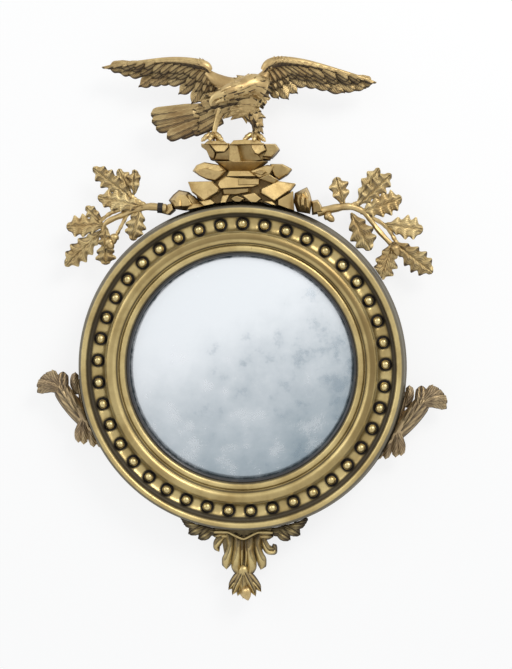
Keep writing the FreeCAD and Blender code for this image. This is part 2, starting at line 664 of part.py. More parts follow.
trunk = limb([eagle(-76, 66), eagle(-50, 76), eagle(-20, 86), eagle(12, 90), eagle(36, 88), eagle(50, 80)],
             [12, 24, 40, 45, 36, 14], flatten=0.72, sides=12)
thigh_right = limb([eagle(14, 62, -6), eagle(30, 44, -4), eagle(34, 30, -2)], [24, 17, 10], sides=8)
head = joined([
    limb([eagle(40, 108, 22), eagle(24, 112, 36), eagle(4, 103, 46), eagle(-14, 97, 52), eagle(-28, 92, 53),
          eagle(-38, 86, 52)],
         [26, 22, 18, 17, 15, 9], sides=10),
    limb([eagle(-34, 88, 52), eagle(-48, 84, 52), eagle(-55, 74, 52), eagle(-53, 66, 52)], [9, 7.5, 5, 1.5],
         sides=6),
    limb([eagle(-30, 80, 52), eagle(-42, 74, 52), eagle(-46, 70, 52)], [6, 4, 1.5], sides=6),
])
TAIL_TIPS = ((-180, 58), (-178, 44), (-170, 30), (-148, 12), (-124, 17), (-98, 24))
tail = joined([limb([eagle(-40, 72), eagle(-78, 62), eagle(-96, 56)], [22, 17, 9], flatten=0.5, sides=8)] + [
    blade(eagle(-52 + 3 * index, 72 - 5 * index, 2 * (index % 2)), eagle(*tip), 21, 9, 0.7, 0.55, 0.8)
    for index, tip in enumerate(TAIL_TIPS)])


def foot(ankle, toes):
    """Toes that grip the rock, each a tapering limb from the ankle."""
    limbs = []
    for reach, out in toes:
        knuckle = ankle + Vector(reach * 0.5, -out * 0.5, -4)
        limbs.append(limb([ankle, knuckle, ankle + Vector(reach, -out, -14)], [6, 5.5, 3], sides=6))
    return limbs


leg_left = joined([limb([eagle(-38, 62, 8), eagle(-50, 38, 8), eagle(-54, 15, 8)], [13, 7, 6], sides=8)]
                  + foot(eagle(-54, 15, 8), ((-24, 10), (-6, 24), (18, 14), (10, -16))))
leg_right = joined([limb([eagle(34, 34, -2), eagle(26, 15, -2)], [10, 7], sides=8)]
                   + foot(eagle(26, 15, -2), ((-22, 12), (2, 26), (24, 14), (12, -16))))

pins = [peg(eagle(-54, 12, 8), Vector(0, 0, -1), size("pin_radius"), size("pin_length")),
        peg(eagle(26, 12, -2), Vector(0, 0, -1), size("pin_radius"), size("pin_length"))]
dowels = [peg(eagle(-64, 104, -4), Vector(1, -0.1, 0), size("dowel_radius"), size("dowel_length")),
          peg(eagle(-60, 122, -4), Vector(1, -0.5, 0), size("dowel_radius"), size("dowel_length")),
          peg(eagle(30, 104, -4), Vector(1, 0.1, 0), size("dowel_radius"), size("dowel_length")),
          peg(eagle(30, 116, -4), Vector(1, 0.3, 0), size("dowel_radius"), size("dowel_length"))]

eagle_trunk = trunk.fuse(thigh_right).removeSplitter()
eagle_body = eagle_trunk.cut(dowels).removeSplitter()
eagle_head = head.cut([eagle_trunk, wing_right]).removeSplitter()
eagle_wing_left = wing_left.cut([eagle_trunk] + dowels).removeSplitter()
eagle_wing_right = wing_right.cut([eagle_trunk] + dowels).removeSplitter()
eagle_tail = tail.cut([eagle_trunk, leg_left, wing_left]).removeSplitter()
eagle_leg_left = leg_left.cut([eagle_trunk, rock_summit] + pins).removeSplitter()
eagle_leg_right = leg_right.cut([eagle_trunk, rock_summit] + pins).removeSplitter()
rock_summit = rock_summit.cut(pins).removeSplitter()


# ---------------------------------------------------------------- oak sprays
SPRAY_ANGLE = 26
LEAF_THICKNESS = size("leaf_thickness")


def spray(side, x, up, out=0.0):
    """Point of a spray, measured from the ring's edge beside the rocks."""
    turn = math.radians(SPRAY_ANGLE)
    return Vector(side * frame_radius * math.sin(turn) + x, -size("spray_depth") - out,
                  frame_radius * math.cos(turn) + up)


def leaves(side, rows):
    """Leaves of one spray. Each row: x, up, out, length, angle, width, roll."""
    return joined([oak_leaf(spray(side, x, up, out), length, angle, width, LEAF_THICKNESS, roll)
                   for x, up, out, length, angle, width, roll in rows])


def acorns(side, places):
    """Acorns in their cups. Each place: x, up, out, angle."""
    fruit = []
    for x, up, out, angle in places:
        start = spray(side, x, up, out)
        along = Vector(math.cos(math.radians(angle)), 0, math.sin(math.radians(angle)))
        fruit.append(limb([start, start + along * 4, start + along * 9, start + along * 10, start + along * 18,
                           start + along * 24], [3, 8.5, 9.5, 7.5, 6.5, 2], sides=8))
    return fruit


stems_left = joined([
    limb([spray(-1, *point) for point in ((6, 19), (-14, 22), (-46, 24), (-90, 10), (-132, -12), (-130, -52))],
         [9, 9, 7, 6, 5, 4], sides=8),
    limb([spray(-1, *point) for point in ((-44, 24), (-70, 40), (-82, 54))], [5, 5, 4], sides=8),
    limb([spray(-1, *point) for point in ((-62, 21), (-110, 16), (-142, -6))], [4, 4, 4], sides=8),
    limb([spray(-1, *point) for point in ((-84, 10), (-104, -26), (-108, -36))], [3.5, 3.5, 3], sides=8),
])
stems_right = joined([
    limb([spray(1, *point) for point in ((6, 13), (44, 22), (74, 24), (102, 11), (128, -22), (158, -54))],
         [9, 8, 7, 6, 5, 5], sides=8),
    limb([spray(1, *point) for point in ((70, 24), (92, 34))], [5, 4], sides=8),
    limb([spray(1, *point) for point in ((96, 14), (142, -14), (166, -48))], [4, 4, 4], sides=8),
])
leaves_left_upper = leaves(-1, (
    (-76, 45, 2, 102, 143, 40, 14), (-78, 52, -6, 58, 117, 30, -24), (-72, 50, 0, 52, 88, 30, 20),
    (-52, 26, 6, 98, 168, 38, -12), (-58, 24, 4, 70, 256, 42, 10)))
leaves_left_lower = leaves(-1, (
    (-136, -6, 0, 48, 137, 26, 16), (-131, -10, 3, 81, 183, 44, -12), (-136, -22, 2, 108, 223, 44, 14),
    (-128, -14, 8, 48, 267, 28, -16), (-130, -44, 4, 50, 272, 42, 12)))
leaves_right_upper = leaves(1, (
    (60, 28, 2, 60, 106, 40, -16), (86, 32, -4, 86, 58, 34, 14), (88, 28, 4, 94, 43, 38, -14),
    (92, 13, 4, 92, 20, 50, 12), (74, 12, 6, 86, -62, 50, -10)))
leaves_right_lower = leaves(1, (
    (142, -10, 2, 80, -8, 46, 12), (160, -46, 4, 104, -38, 48, -12), (160, -46, 8, 82, -110, 46, 14)))
oak_branch_left = seated(stems_left, rock_base_left)
# A turn of blackened wire round the root of the left branch, where it was once mended.
branch_binding_left = seated(limb([spray(-1, -13, 22), spray(-1, -23, 22.6)], [11, 11], sides=10),
                             stems_left, rock_base_left)
oak_branch_right = seated(stems_right, rock_base_right)
acorns_left = [fruit.cut([stems_left, leaves_left_lower, leaves_left_upper])
               for fruit in acorns(-1, ((-107, -30, 10, 250), (-124, -40, 14, 300)))]
acorns_right = [fruit.cut([stems_right, leaves_right_lower, leaves_right_upper])
                for fruit in acorns(1, ((160, -52, 14, -70), (22, 10, 9, -40)))]
oak_leaves_left_upper = seated(leaves_left_upper, stems_left, rock_base_left)
oak_leaves_left_lower = seated(leaves_left_lower, stems_left)
oak_leaves_right_upper = seated(leaves_right_upper, stems_right, rock_base_right)
oak_leaves_right_lower = seated(leaves_right_lower, stems_right)


# ---------------------------------------------------------------- side scrolls
SCROLL_ANGLE = 105


def scroll(x, up, out=0.0):
    """Point of the left scroll, measured from the ring's edge where the scroll is fixed."""
    turn = math.radians(SCROLL_ANGLE)
    return Vector(-frame_radius * math.sin(turn) + x, -size("scroll_depth") - out,
                  frame_radius * math.cos(turn) + up)


SCROLL_LEAFLETS = (
    ((-49, 42), (-98, 38), 34, 4), ((-52, 46), (-92, 56), 30, 0), ((-54, 50), (-78, 72), 28, 5),
    ((-54, 50), (-60, 82), 24, 0), ((-36, 34), (-40, 78), 24, 6), ((-16, 26), (-16, 74), 20, -4),
    ((2, -16), (-10, -66), 26, 4), ((12, -24), (8, -70), 24, 0), ((22, -36), (20, -76), 24, 5),
    ((28, -44), (34, -78), 20, 0))
scroll_body = joined([
    limb([scroll(*point) for point in ((30, -60), (6, -30), (-20, 2), (-38, 26), (-50, 48), (-62, 58))],
         [14, 18, 20, 16, 12, 8], flatten=1.1, sides=10)] + [
    blade(scroll(*root, out=out), scroll(*tip, out=out), wide, 14, 0.7, 0.35, 0.55)
    for root, tip, wide, out in SCROLL_LEAFLETS])
side_scroll_left = seated(scroll_body, *scroll_pegs[:2])
mirrored_scroll = scroll_body.mirror(Vector(0, 0, 0), Vector(1, 0, 0))
mirrored_scroll.rotate(Vector(0, 0, 0), Vector(0, 1, 0), size("scroll_droop"))
side_scroll_right = seated(mirrored_scroll, *scroll_pegs[2:])


# ---------------------------------------------------------------- apron
def apron(x, down, out=0.0):
    """Point of the apron, measured from the lowest point of the ring."""
    return Vector(x, -size("apron_depth") - out, -frame_radius - down)


REEDS = (
    (((-52, 2), (-46, 12), (-34, 26), (-34, 46), (-38, 60)), (7, 8, 9, 9, 7)),
    (((-34, -2), (-20, 10), (-16, 36), (-14, 66)), (8, 9, 9, 8)),
    (((2, -2), (2, 10), (2, 40), (2, 72)), (10, 11, 10, 8)),
    (((38, -2), (24, 10), (20, 36), (18, 66)), (8, 9, 9, 8)),
    (((58, 2), (52, 12), (40, 26), (40, 46), (42, 60)), (7, 8, 9, 9, 7)),
    (((-34, 8), (-46, 22), (-52, 32), (-46, 34)), (6, 7, 7, 4)),
    (((38, 8), (52, 22), (64, 30), (58, 34)), (6, 7, 7, 4)))
apron_core = polygon_face([apron(*point, out=-size("apron_depth")) for point in (
    (-56, -8), (-40, 24), (-34, 60), (-12, 74), (16, 74), (38, 60), (46, 24), (62, -8))]).extrude(
        FRONT * (size("apron_depth") + 10))
apron_body = joined([apron_core] + [
    limb([apron(*point, out=8) for point in path], list(radii), flatten=1.4, sides=8) for path, radii in REEDS])
frond_root = apron(2, 68, 4)
FROND_ANGLES = (-132, -119, -106, -93, -80, -66, -53)
FROND_LENGTHS = (62, 64, 60, 68, 64, 66, 68)
frond_body = joined([
    blade(frond_root, frond_root + Vector(reach * math.cos(math.radians(angle)), -4 * (index % 2),
                                          reach * math.sin(math.radians(angle))), 20, 13, 0.5, 0.25, 0.65)
    for index, (angle, reach) in enumerate(zip(FROND_ANGLES, FROND_LENGTHS))])
bud = limb([apron(6, 118, 8), apron(8, 124, 8), apron(10, 132, 8), apron(13, 143, 8)], [7, 11, 9, 2], sides=8)
apron_irons = [doc.getObject("apron_strap_bar").Shape, apron_strap_screws.Shape]
apron_acanthus = seated(apron_body, *apron_irons)
apron_frond = frond_body.cut([apron_body] + apron_irons).removeSplitter()
apron_bud = bud.cut(frond_body)

LEAFLETS = (((-46, -2), (-84, -12), 22, 0), ((-62, -6), (-88, 14), 20, 4), ((-78, -12), (-110, 4), 20, 0),
            ((-84, -14), (-118, -16), 20, 4), ((-98, -20), (-124, -26), 16, 0))
small_spray = joined([blade(apron(*root, out=out), apron(*tip, out=out), wide, 16, 0.8, 0.35, 0.6)
                      for root, tip, wide, out in LEAFLETS])
apron_leaf_left = seated(small_spray, apron_body)
apron_leaf_right = seated(small_spray.mirror(Vector(0, 0, 0), Vector(1, 0, 0)).translated(Vector(10, 0, 0)),
                          apron_body)

# ---------------------------------------------------------------- carved sub-parts
CARVED = {
    "rock_summit": rock_summit, "rock_middle": rock_middle,
    "rock_base_left": rock_base_left, "rock_base_right": rock_base_right,
    "eagle_body": eagle_body, "eagle_head": eagle_head, "eagle_wing_left": eagle_wing_left,
    "eagle_wing_right": eagle_wing_right, "eagle_tail": eagle_tail,
    "eagle_leg_left": eagle_leg_left, "eagle_leg_right": eagle_leg_right,
    "foot_pins": Part.makeCompound(pins), "wing_dowels": Part.makeCompound(dowels),
    "oak_branch_left": oak_branch_left, "oak_branch_right": oak_branch_right,
    "branch_binding_left": branch_binding_left,
    "oak_leaves_left_upper": oak_leaves_left_upper, "oak_leaves_left_lower": oak_leaves_left_lower,
    "oak_leaves_right_upper": oak_leaves_right_upper, "oak_leaves_right_lower": oak_leaves_right_lower,
    "acorns_left": Part.makeCompound(acorns_left), "acorns_right": Part.makeCompound(acorns_right),
    "side_scroll_left": side_scroll_left, "side_scroll_right": side_scroll_right,
    "apron_acanthus": apron_acanthus, "apron_frond": apron_frond, "apron_bud": apron_bud,
    "apron_leaf_left": apron_leaf_left, "apron_leaf_right": apron_leaf_right,
}
for label, shape in CARVED.items():
    carved(label, shape)

# ---------------------------------------------------------------- checks and files
doc.recompute()
BUILT = ("frame_moulding carcass_ring ebonised_slip mirror_plate glazing_blocks backboard backboard_screws "
         "ball_ornaments crest_strap_left crest_strap_right crest_strap_screws apron_strap apron_strap_screws "
         "hanger_strap_left hanger_strap_right hanger_ring_left hanger_ring_right hanger_screws "
         "scroll_dowels").split()
for item in doc.Objects:
    if "Invalid" in item.State or "Error" in item.State:
        raise RuntimeError(f"{item.Label}: {item.State}")
shapes = {}
for node in BUILT + list(CARVED):
    shape = doc.getObjectsByLabel(node)[0].Shape
    if shape.isNull() or not shape.isValid() or not shape.Solids:
        raise RuntimeError(f"{node} has no valid shape")
    shapes[node] = shape
for node, shape in shapes.items():
    print(node, len(shape.Solids), round(shape.Volume))
    shape.exportStep(f"parts/{node}.step")
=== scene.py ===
import random
from math import atan2, cos, exp, hypot, pi, radians, sin, sqrt, tau

import bmesh
import bpy
from mathutils import Matrix, Vector


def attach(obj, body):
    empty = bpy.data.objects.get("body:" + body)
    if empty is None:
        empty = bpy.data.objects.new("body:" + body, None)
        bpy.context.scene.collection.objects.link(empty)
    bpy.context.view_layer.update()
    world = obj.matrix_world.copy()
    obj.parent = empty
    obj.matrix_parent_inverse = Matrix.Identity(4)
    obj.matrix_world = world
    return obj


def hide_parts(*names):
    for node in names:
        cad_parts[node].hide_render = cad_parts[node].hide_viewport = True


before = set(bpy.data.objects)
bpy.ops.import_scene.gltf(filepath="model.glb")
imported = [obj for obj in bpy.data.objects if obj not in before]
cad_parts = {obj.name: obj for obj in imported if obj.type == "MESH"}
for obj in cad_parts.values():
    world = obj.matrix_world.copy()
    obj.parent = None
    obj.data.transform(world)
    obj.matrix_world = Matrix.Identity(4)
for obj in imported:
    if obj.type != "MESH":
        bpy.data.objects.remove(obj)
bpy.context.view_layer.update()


# ---------------- pine carcass and backboard
# The ring behind the gilding is pine, sawn and turned, left bare at the back where it has gone
# grey-brown. The round backboard lies in its rebate under eight screws.
class Wash:
    """A socket of a material's nodes. Sums written on it become Math nodes."""

    def __init__(self, tree, socket=None):
        self.tree, self.socket = tree, socket

    def node(self, kind, settings, inputs, output=0):
        made = self.tree.nodes.new(f"ShaderNode{kind}")
        for name, value in settings.items():
            setattr(made, name, value)
        for name, value in inputs.items():
            if isinstance(value, Wash):
                self.tree.links.new(value.socket, made.inputs[name])
            else:
                made.inputs[name].default_value = value
        return Wash(self.tree, made.outputs[output])

    def maths(self, operation, *values):
        return self.node("Math", {"operation": operation}, dict(enumerate(values)))

    def __add__(self, other):
        return self.maths("ADD", self, other)

    __radd__ = __add__

    def __sub__(self, other):
        return self.maths("SUBTRACT", self, other)

    def __rsub__(self, other):
        return self.maths("SUBTRACT", other, self)

    def __mul__(self, other):
        return self.maths("MULTIPLY", self, other)

    __rmul__ = __mul__

    def __truediv__(self, other):
        return self.maths("DIVIDE", self, other)

    def __abs__(self):
        return self.maths("ABSOLUTE", self)

    def between(self, low, high):
        """Smooth mask that rises from 0 at low to 1 at high."""
        return self.node("MapRange", {"interpolation_type": "SMOOTHSTEP"},
                         {"Value": self, "From Min": low, "From Max": high})

    def tint(self, start, end):
        """Colour that goes from start to end with this mask."""
        return self.node("Mix", {"data_type": "RGBA"}, {0: self, 6: start, 7: end}, 2)

    def place(self, output="Object"):
        return self.node("TexCoord", {}, {}, output)

    def axis(self, name, vector=None):
        """One coordinate of the place in the object, or of another vector."""
        return self.node("SeparateXYZ", {}, {"Vector": vector or self.place()}, name)

    def radius(self):
        """Distance from the ring's axis, in metres."""
        spot, height = self.axis("X"), self.axis("Z")
        return self.maths("SQRT", spot * spot + height * height)

    def noise(self, scale, detail=4.0, roughness=0.55, place=None):
        return self.node("TexNoise", {}, {"Vector": place or self.place(), "Scale": scale, "Detail": detail,
                                          "Roughness": roughness}, "Fac")

    def bump(self, strength, distance, before=None):
        inputs = {"Height": self, "Strength": strength, "Distance": distance}
        if before is not None:
            inputs["Normal"] = before
        return self.node("Bump", {}, inputs)

    def close(self, colour, roughness, metallic, normal, **plain):
        """Ends the material in one surface shader."""
        inputs = {"Base Color": colour, "Roughness": roughness, "Metallic": metallic, "Normal": normal}
        inputs.update({name.replace("_", " "): value for name, value in plain.items()})
        surface = self.node("BsdfPrincipled", {}, inputs)
        self.node_output(surface)

    def node_output(self, surface):
        output = self.tree.nodes.new("ShaderNodeOutputMaterial")
        self.tree.links.new(surface.socket, output.inputs["Surface"])


def new_finish(name):
    """A material with an empty node tree, and the Wash that fills it."""
    material = bpy.data.materials.new(name)
    material.use_nodes = True
    material.node_tree.nodes.clear()
    return material, Wash(material.node_tree)


def rgb(red, green, blue):
    """Colour given as it looks on screen, 0 to 255."""
    return tuple((tone / 255 / 12.92 if tone <= 10 else ((tone / 255 + 0.055) / 1.055) ** 2.4)
                 for tone in (red, green, blue)) + (1.0,)


def finish_node(material, *names):
    """Puts a material on CAD nodes whose shape is right as it is."""
    for name in names:
        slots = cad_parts[name].data.materials
        slots.clear()
        slots.append(material)


pine, wash = new_finish("old_pine")
stretched = wash.node("Mapping", {}, {"Vector": wash.place(), "Scale": (90.0, 90.0, 4.0)})
grain = wash.noise(1.0, 6.0, 0.6, stretched)
boards = wash.node("TexWave", {"wave_type": "BANDS", "bands_direction": "X"},
                   {"Vector": wash.place(), "Scale": 16.0, "Distortion": 3.5, "Detail": 3.0,
                    "Detail Scale": 1.2}, "Fac")
dust = wash.noise(9.0, 5.0, 0.6).between(0.42, 0.75)
fibre = (grain * 0.85 + boards * 0.15).between(0.25, 0.8)
timber = dust.tint(fibre.tint(rgb(96, 66, 40), rgb(158, 120, 78)), rgb(104, 88, 70))
ochre = wash.radius().between(0.3330, 0.3338)
timber = ochre.tint(timber, dust.tint(rgb(122, 108, 74), rgb(78, 68, 50)))
wash.close(timber, 0.78 - 0.2 * ochre, 0.0, (grain + boards * 0.3).bump(0.5, 0.0006))
finish_node(pine, "carcass_ring", "backboard", "glazing_blocks", "scroll_dowels", "wing_dowels")

# ---------------- irons, screws and pins
# Forged straps let into the back hold the crest and the apron, and two hangers with swinging
# half-round rings carry the mirror. Iron with a thin brown rust, screws a little brighter.
iron, wash = new_finish("brown_iron")
pitting = wash.noise(260.0, 6.0, 0.65)
rust = wash.noise(34.0, 5.0, 0.6).between(0.44, 0.66)
wash.close(rust.tint(rgb(74, 70, 66), rgb(96, 60, 38)), 0.42 + rust * 0.4, 0.9 - rust * 0.8,
           pitting.bump(0.6, 0.0004))
finish_node(iron, "crest_strap_left", "crest_strap_right", "apron_strap", "hanger_strap_left",
            "hanger_strap_right", "hanger_ring_left", "hanger_ring_right", "foot_pins")
steel, wash = new_finish("screw_iron")
rust = wash.noise(120.0, 4.0, 0.6).between(0.4, 0.7)
wash.close(rust.tint(rgb(104, 98, 88), rgb(88, 62, 44)), 0.38 + rust * 0.35, 0.9 - rust * 0.6,
           wash.noise(500.0).bump(0.4, 0.0002))
finish_node(steel, "backboard_screws", "crest_strap_screws", "apron_strap_screws", "hanger_screws")
black_wire, wash = new_finish("blackened_wire")
turns = wash.node("TexWave", {"wave_type": "BANDS", "bands_direction": "X"},
                  {"Vector": wash.place(), "Scale": 110.0, "Distortion": 1.0}, "Fac")
grime = wash.noise(80.0, 4.0, 0.6)
wash.close(grime.between(0.4, 0.75).tint(rgb(24, 22, 24), rgb(58, 50, 44)), 0.5 + grime * 0.2, 0.4,
           turns.bump(0.6, 0.0008))
finish_node(black_wire, "branch_binding_left")

# ---------------- the bent glass
# A convex plate of old glass, silvered on its back with tin and mercury. The silvering is cloudy,
# mottled towards the bottom and darker along its edge; a painted reflection runs from pale at the
# top to grey-blue towards the lower right.
SIGHT = 227.0
PLATE = 238.0
CROWN = 27.0
PLATE_SEAT = 43.7
SPHERE = (SIGHT ** 2 + CROWN ** 2) / (2 * CROWN)
GLASS_THICK = 4.0
GLASS_RINGS = 24
GLASS_STEPS = 128


def piece(name, bm, finish, nodes, sharp=0.95):
    """Makes a piece of a bmesh drawn in millimetres, standing for CAD nodes."""
    bmesh.ops.remove_doubles(bm, verts=bm.verts, dist=0.02)
    bmesh.ops.recalc_face_normals(bm, faces=bm.faces)
    bmesh.ops.scale(bm, vec=(0.001, 0.001, 0.001), verts=bm.verts)
    for face in bm.faces:
        face.smooth = True
    for edge in bm.edges:
        if edge.is_manifold and edge.calc_face_angle(0.0) > sharp:
            edge.smooth = False
    mesh = bpy.data.meshes.new(name)
    bm.to_mesh(mesh)
    bm.free()
    made = bpy.data.objects.new(name, mesh)
    bpy.context.scene.collection.objects.link(made)
    made.data.materials.append(finish)
    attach(made, "mirror")
    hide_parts(*nodes)


def carving():
    """Empty bmesh with a UV layer."""
    bm = bmesh.new()
    bm.loops.layers.uv.verify()
    return bm


def turn(profile, steps):
    """bmesh of a closed profile of (radius, depth) pairs spun round the Y axis."""
    bm = carving()
    corners = [bm.verts.new((radius, -depth, 0.0)) for radius, depth in profile]
    edges = [bm.edges.new((here, there)) for here, there in zip(corners, corners[1:] + corners[:1])]
    bmesh.ops.spin(bm, geom=corners + edges, cent=(0, 0, 0), axis=(0, 1, 0), angle=tau,
                   steps=steps, use_merge=True)
    return bm


def dome(radius):
    """Depth of the glass's front face at a radius."""
    return PLATE_SEAT + sqrt(SPHERE ** 2 - radius ** 2) - sqrt(SPHERE ** 2 - SIGHT ** 2)


front_rings = [0.01] + [PLATE * share / GLASS_RINGS for share in range(1, GLASS_RINGS + 1)]
glass_bm = turn([(radius, dome(radius)) for radius in front_rings]
                + [(radius, dome(radius) - GLASS_THICK) for radius in reversed(front_rings)], GLASS_STEPS)

glass, wash = new_finish("foxed_mirror")
spot, height, edge = wash.axis("X"), wash.axis("Z"), wash.radius()
cloud = wash.noise(5.5, 6.0, 0.62)
mottle = wash.noise(24.0, 7.0, 0.68)
fleck = wash.noise(95.0, 5.0, 0.7)
# painted reflection: pale at the top and left, grey-blue towards the lower right
painted_reflection_fall = (0.5 - height * 2.1 + spot * 0.9 + (cloud - 0.5) * 0.9).between(0.15, 1.2)
tone = painted_reflection_fall.tint(rgb(236, 240, 244), rgb(132, 150, 160))
patch = (mottle + (cloud - 0.5) * 0.7 - (height + 0.05) * 0.35 + spot * 0.4).between(0.58, 0.78)
tone = (patch * 0.5).tint(tone, rgb(130, 148, 162))
bloom = (1 - mottle + (fleck - 0.5) * 0.5 - height * 0.3).between(0.54, 0.74)
tone = (bloom * 0.3).tint(tone, rgb(244, 246, 249))
rim = (edge + (mottle - 0.5) * 0.010 + (fleck - 0.5) * 0.006).between(0.2225, 0.2270)
tone = rim.tint(tone, rgb(84, 96, 102))
wash.close(tone, 0.16 + patch * 0.16 + bloom * 0.2, 0.55, (mottle * 0.5 + fleck * 0.2).bump(0.05, 0.001),
           Coat_Weight=0.6, Coat_Roughness=0.06)
piece("mirror_glass", glass_bm, glass, ["mirror_plate"])

# ---------------- the ebonised slip
# A thin turned rim of fruitwood stained black and polished, between the glass and the gilding.
# Its inner edge is worn to brown where it meets the glass.
SLIP_FACE = 6.4
SLIP_FRONT = 57.0
SLIP_STEPS = 192
slip_bm = turn([(SIGHT, 44), (240.7, 44), (240.7, 50), (SIGHT + SLIP_FACE, 50),
                (SIGHT + SLIP_FACE, 56.2), (SIGHT + 5.6, SLIP_FRONT), (SIGHT + 3.2, SLIP_FRONT),
                (SIGHT + 1.6, 56.3), (SIGHT + 0.5, 54.6), (SIGHT, 52.5)], SLIP_STEPS)
ebonised, wash = new_finish("ebonised_polish")
rub = wash.noise(60.0, 6.0, 0.65)
wash.close(rub.between(0.5, 0.8).tint(rgb(26, 25, 26), rgb(70, 62, 50)), 0.26 + rub * 0.2, 0.0,
           wash.noise(300.0).bump(0.2, 0.0003), Coat_Weight=0.4, Coat_Roughness=0.15)
piece("slip", slip_bm, ebonised, ["ebonised_slip"])

# ---------------- the turned and gilded moulding
# Pine turned on a faceplate, covered with gesso and water gilded: an outer bead, a hollow for the
# balls, a wide torus, two fine fillets and a small torus. Dark wax and painted shade fill its grooves
# and the pockets round the balls; the outer flank and the torus carry a painted dark reflection.
BALLS = 41
BALL_CIRCLE = 290.5
BALL_START = 0.6
BALL_RADIUS = 9.0
BALL_OUT = 61.5
SEAT = 5.0
POCKET = 14.5
POCKET_DEEP = 3.0
STEPS_PER_BALL = 12
BEAD_GROOVE = 307.6
LIP = 274.6
TORUS_RIDGE = 264.5
FILLET_GROOVE = 251.6


def arc(circle, depth, radius, start, end, steps):
    """Corners of a round stretch of the profile, angles in degrees from straight outwards."""
    return [(circle + radius * cos(radians(start + (end - start) * step / steps)),
             depth + radius * sin(radians(start + (end - start) * step / steps)))
            for step in range(steps + 1)]


moulding_profile = (
    [(241.0, 30.0), (334.0, 30.0), (334.0, 35.5), (333.2, 36.5)]
    + [(334 - 8 * sin(radians(45 * step / 4)) * 1.35,
        37 + 33 * (1 - cos(radians(22.5 * step)))) for step in range(1, 4)]
    + [(325.4, 70.0), (327.2, 71.2)]
    + arc(319, 71.5, 8.5, 4, 172, 12)
    + [(309.4, 70.2), (308.6, 67.6), (306.6, 66.4)]
    + arc(BALL_CIRCLE, 74, 20, -30, -146, 11)
    + [(273.8, 63.6), (275.6, 65.4), (275.4, 67.4), (273.9, 68.3)]
    + arc(263.5, 61, 12.6, 34, 150, 10)
    + [(251.9, 65.2), (252.6, 63.4), (251.0, 62.4), (250.4, 59.8), (249.0, 59.4)]
    + arc(241.5, 56, 8.6, 30, 172, 9)
    + [(233.9, 52.6), (233.7, 50.0), (241.0, 50.0)])
moulding_bm = turn(moulding_profile, BALLS * STEPS_PER_BALL)
pitch = tau / BALLS
for vert in moulding_bm.verts:
    reach = hypot(vert.co.x, vert.co.z)
    turned_by = atan2(vert.co.x, vert.co.z) - radians(BALL_START)
    beside = (turned_by / pitch - round(turned_by / pitch)) * pitch * BALL_CIRCLE
    if -70.0 < vert.co.y < -50.0:
        away = hypot(beside, reach - BALL_CIRCLE)
        if SEAT < away < POCKET:
            vert.co.y += POCKET_DEEP * sin(pi * (away - SEAT) / (POCKET - SEAT))

ring_gilding, wash = new_finish("ring_gilding")
spot, height, reach = wash.axis("X"), wash.axis("Z"), wash.radius() * 1000.0
swing = (wash.maths("ARCTAN2", spot, height) - radians(BALL_START)) / pitch
beside = (swing - wash.maths("ROUND", swing)) * (pitch * BALL_CIRCLE)
across = reach - BALL_CIRCLE
from_ball = wash.maths("SQRT", beside * beside + across * across * 0.8)
blotch = wash.noise(14.0, 5.0, 0.6)
scuff = wash.noise(110.0, 6.0, 0.7)
leaf = blotch.between(0.3, 0.72).tint(rgb(168, 146, 96), rgb(210, 190, 134))
# painted dark reflection: the torus band is toned olive-brown, most strongly towards the upper right
torus_reflection_band = 1 - abs(reach - TORUS_RIDGE).between(3.5, 7.5)
leaf = (torus_reflection_band * (0.3 + 0.5 * (spot + height).between(-0.15, 0.3))).tint(leaf, rgb(118, 98, 60))
# painted shade with dark wax: round each ball in the hollow, and in the grooves by the bead, fillets, slip
# and lip
pocket_shade = 1 - (from_ball + (scuff - 0.5) * 4.0).between(12.0, 16.0)
in_hollow = (reach - 274.0).between(0.0, 2.0) * (1 - (reach - 306.5).between(0.0, 3.0))
by_bead = 1 - (abs(reach - BEAD_GROOVE + (scuff - 0.5) * 2.0)).between(3.0, 6.5)
by_fillet = 1 - (abs(reach - FILLET_GROOVE)).between(0.5, 2.2)
by_slip = 1 - (reach + (scuff - 0.5) * 2.0).between(234.4, 237.4)
by_lip = 1 - (abs(reach - LIP)).between(0.4, 1.8)
wax_and_shade = wash.maths("MAXIMUM", wash.maths("MAXIMUM", pocket_shade * in_hollow, by_bead * 0.92),
                 wash.maths("MAXIMUM", by_fillet * 0.75,
                            wash.maths("MAXIMUM", by_slip * 0.8, by_lip * 0.5)))
# painted reflection: the outer half of the bead and the outer flank are made a dull grey
outer_flank_reflection = (reach + (scuff - 0.5) * 1.5).between(320.6, 323.4)
leaf = (outer_flank_reflection * 0.9).tint(leaf, rgb(98, 94, 84))
worn = (scuff + (blotch - 0.5) * 0.6).between(0.66, 0.78)
leaf = (worn * 0.4).tint(leaf, rgb(120, 84, 52))
leaf = wax_and_shade.tint(leaf, rgb(34, 27, 22))
wash.close(leaf, 0.28 + scuff * 0.16 + wax_and_shade * 0.25 + outer_flank_reflection * 0.14, 0.86 - wax_and_shade * 0.8 - outer_flank_reflection * 0.25,
           (scuff * 0.5 + blotch * 0.5).bump(0.12, 0.0008))
piece("gilt_moulding", moulding_bm, ring_gilding, ["frame_moulding"], sharp=0.8)

# ---------------- balls of the hollow
# Forty-one turned balls, gessoed, gilded and glued into the hollow by a small flat. The leaf is
# bright where fingers and dusters reach, and painted shade darkens it where a ball meets its pocket.
balls_bm = carving()
for index in range(BALLS):
    swing_to = radians(BALL_START) + pitch * index
    middle = Vector((BALL_CIRCLE * sin(swing_to), -BALL_OUT, BALL_CIRCLE * cos(swing_to)))
    bmesh.ops.create_uvsphere(balls_bm, u_segments=20, v_segments=12, radius=BALL_RADIUS,
                              matrix=Matrix.Translation(middle) @ Matrix.Rotation(pi / 2, 4, "X"))
ball_gilding, wash = new_finish("ball_gilding")
depth = wash.axis("Y")
scuff = wash.noise(90.0, 5.0, 0.65)
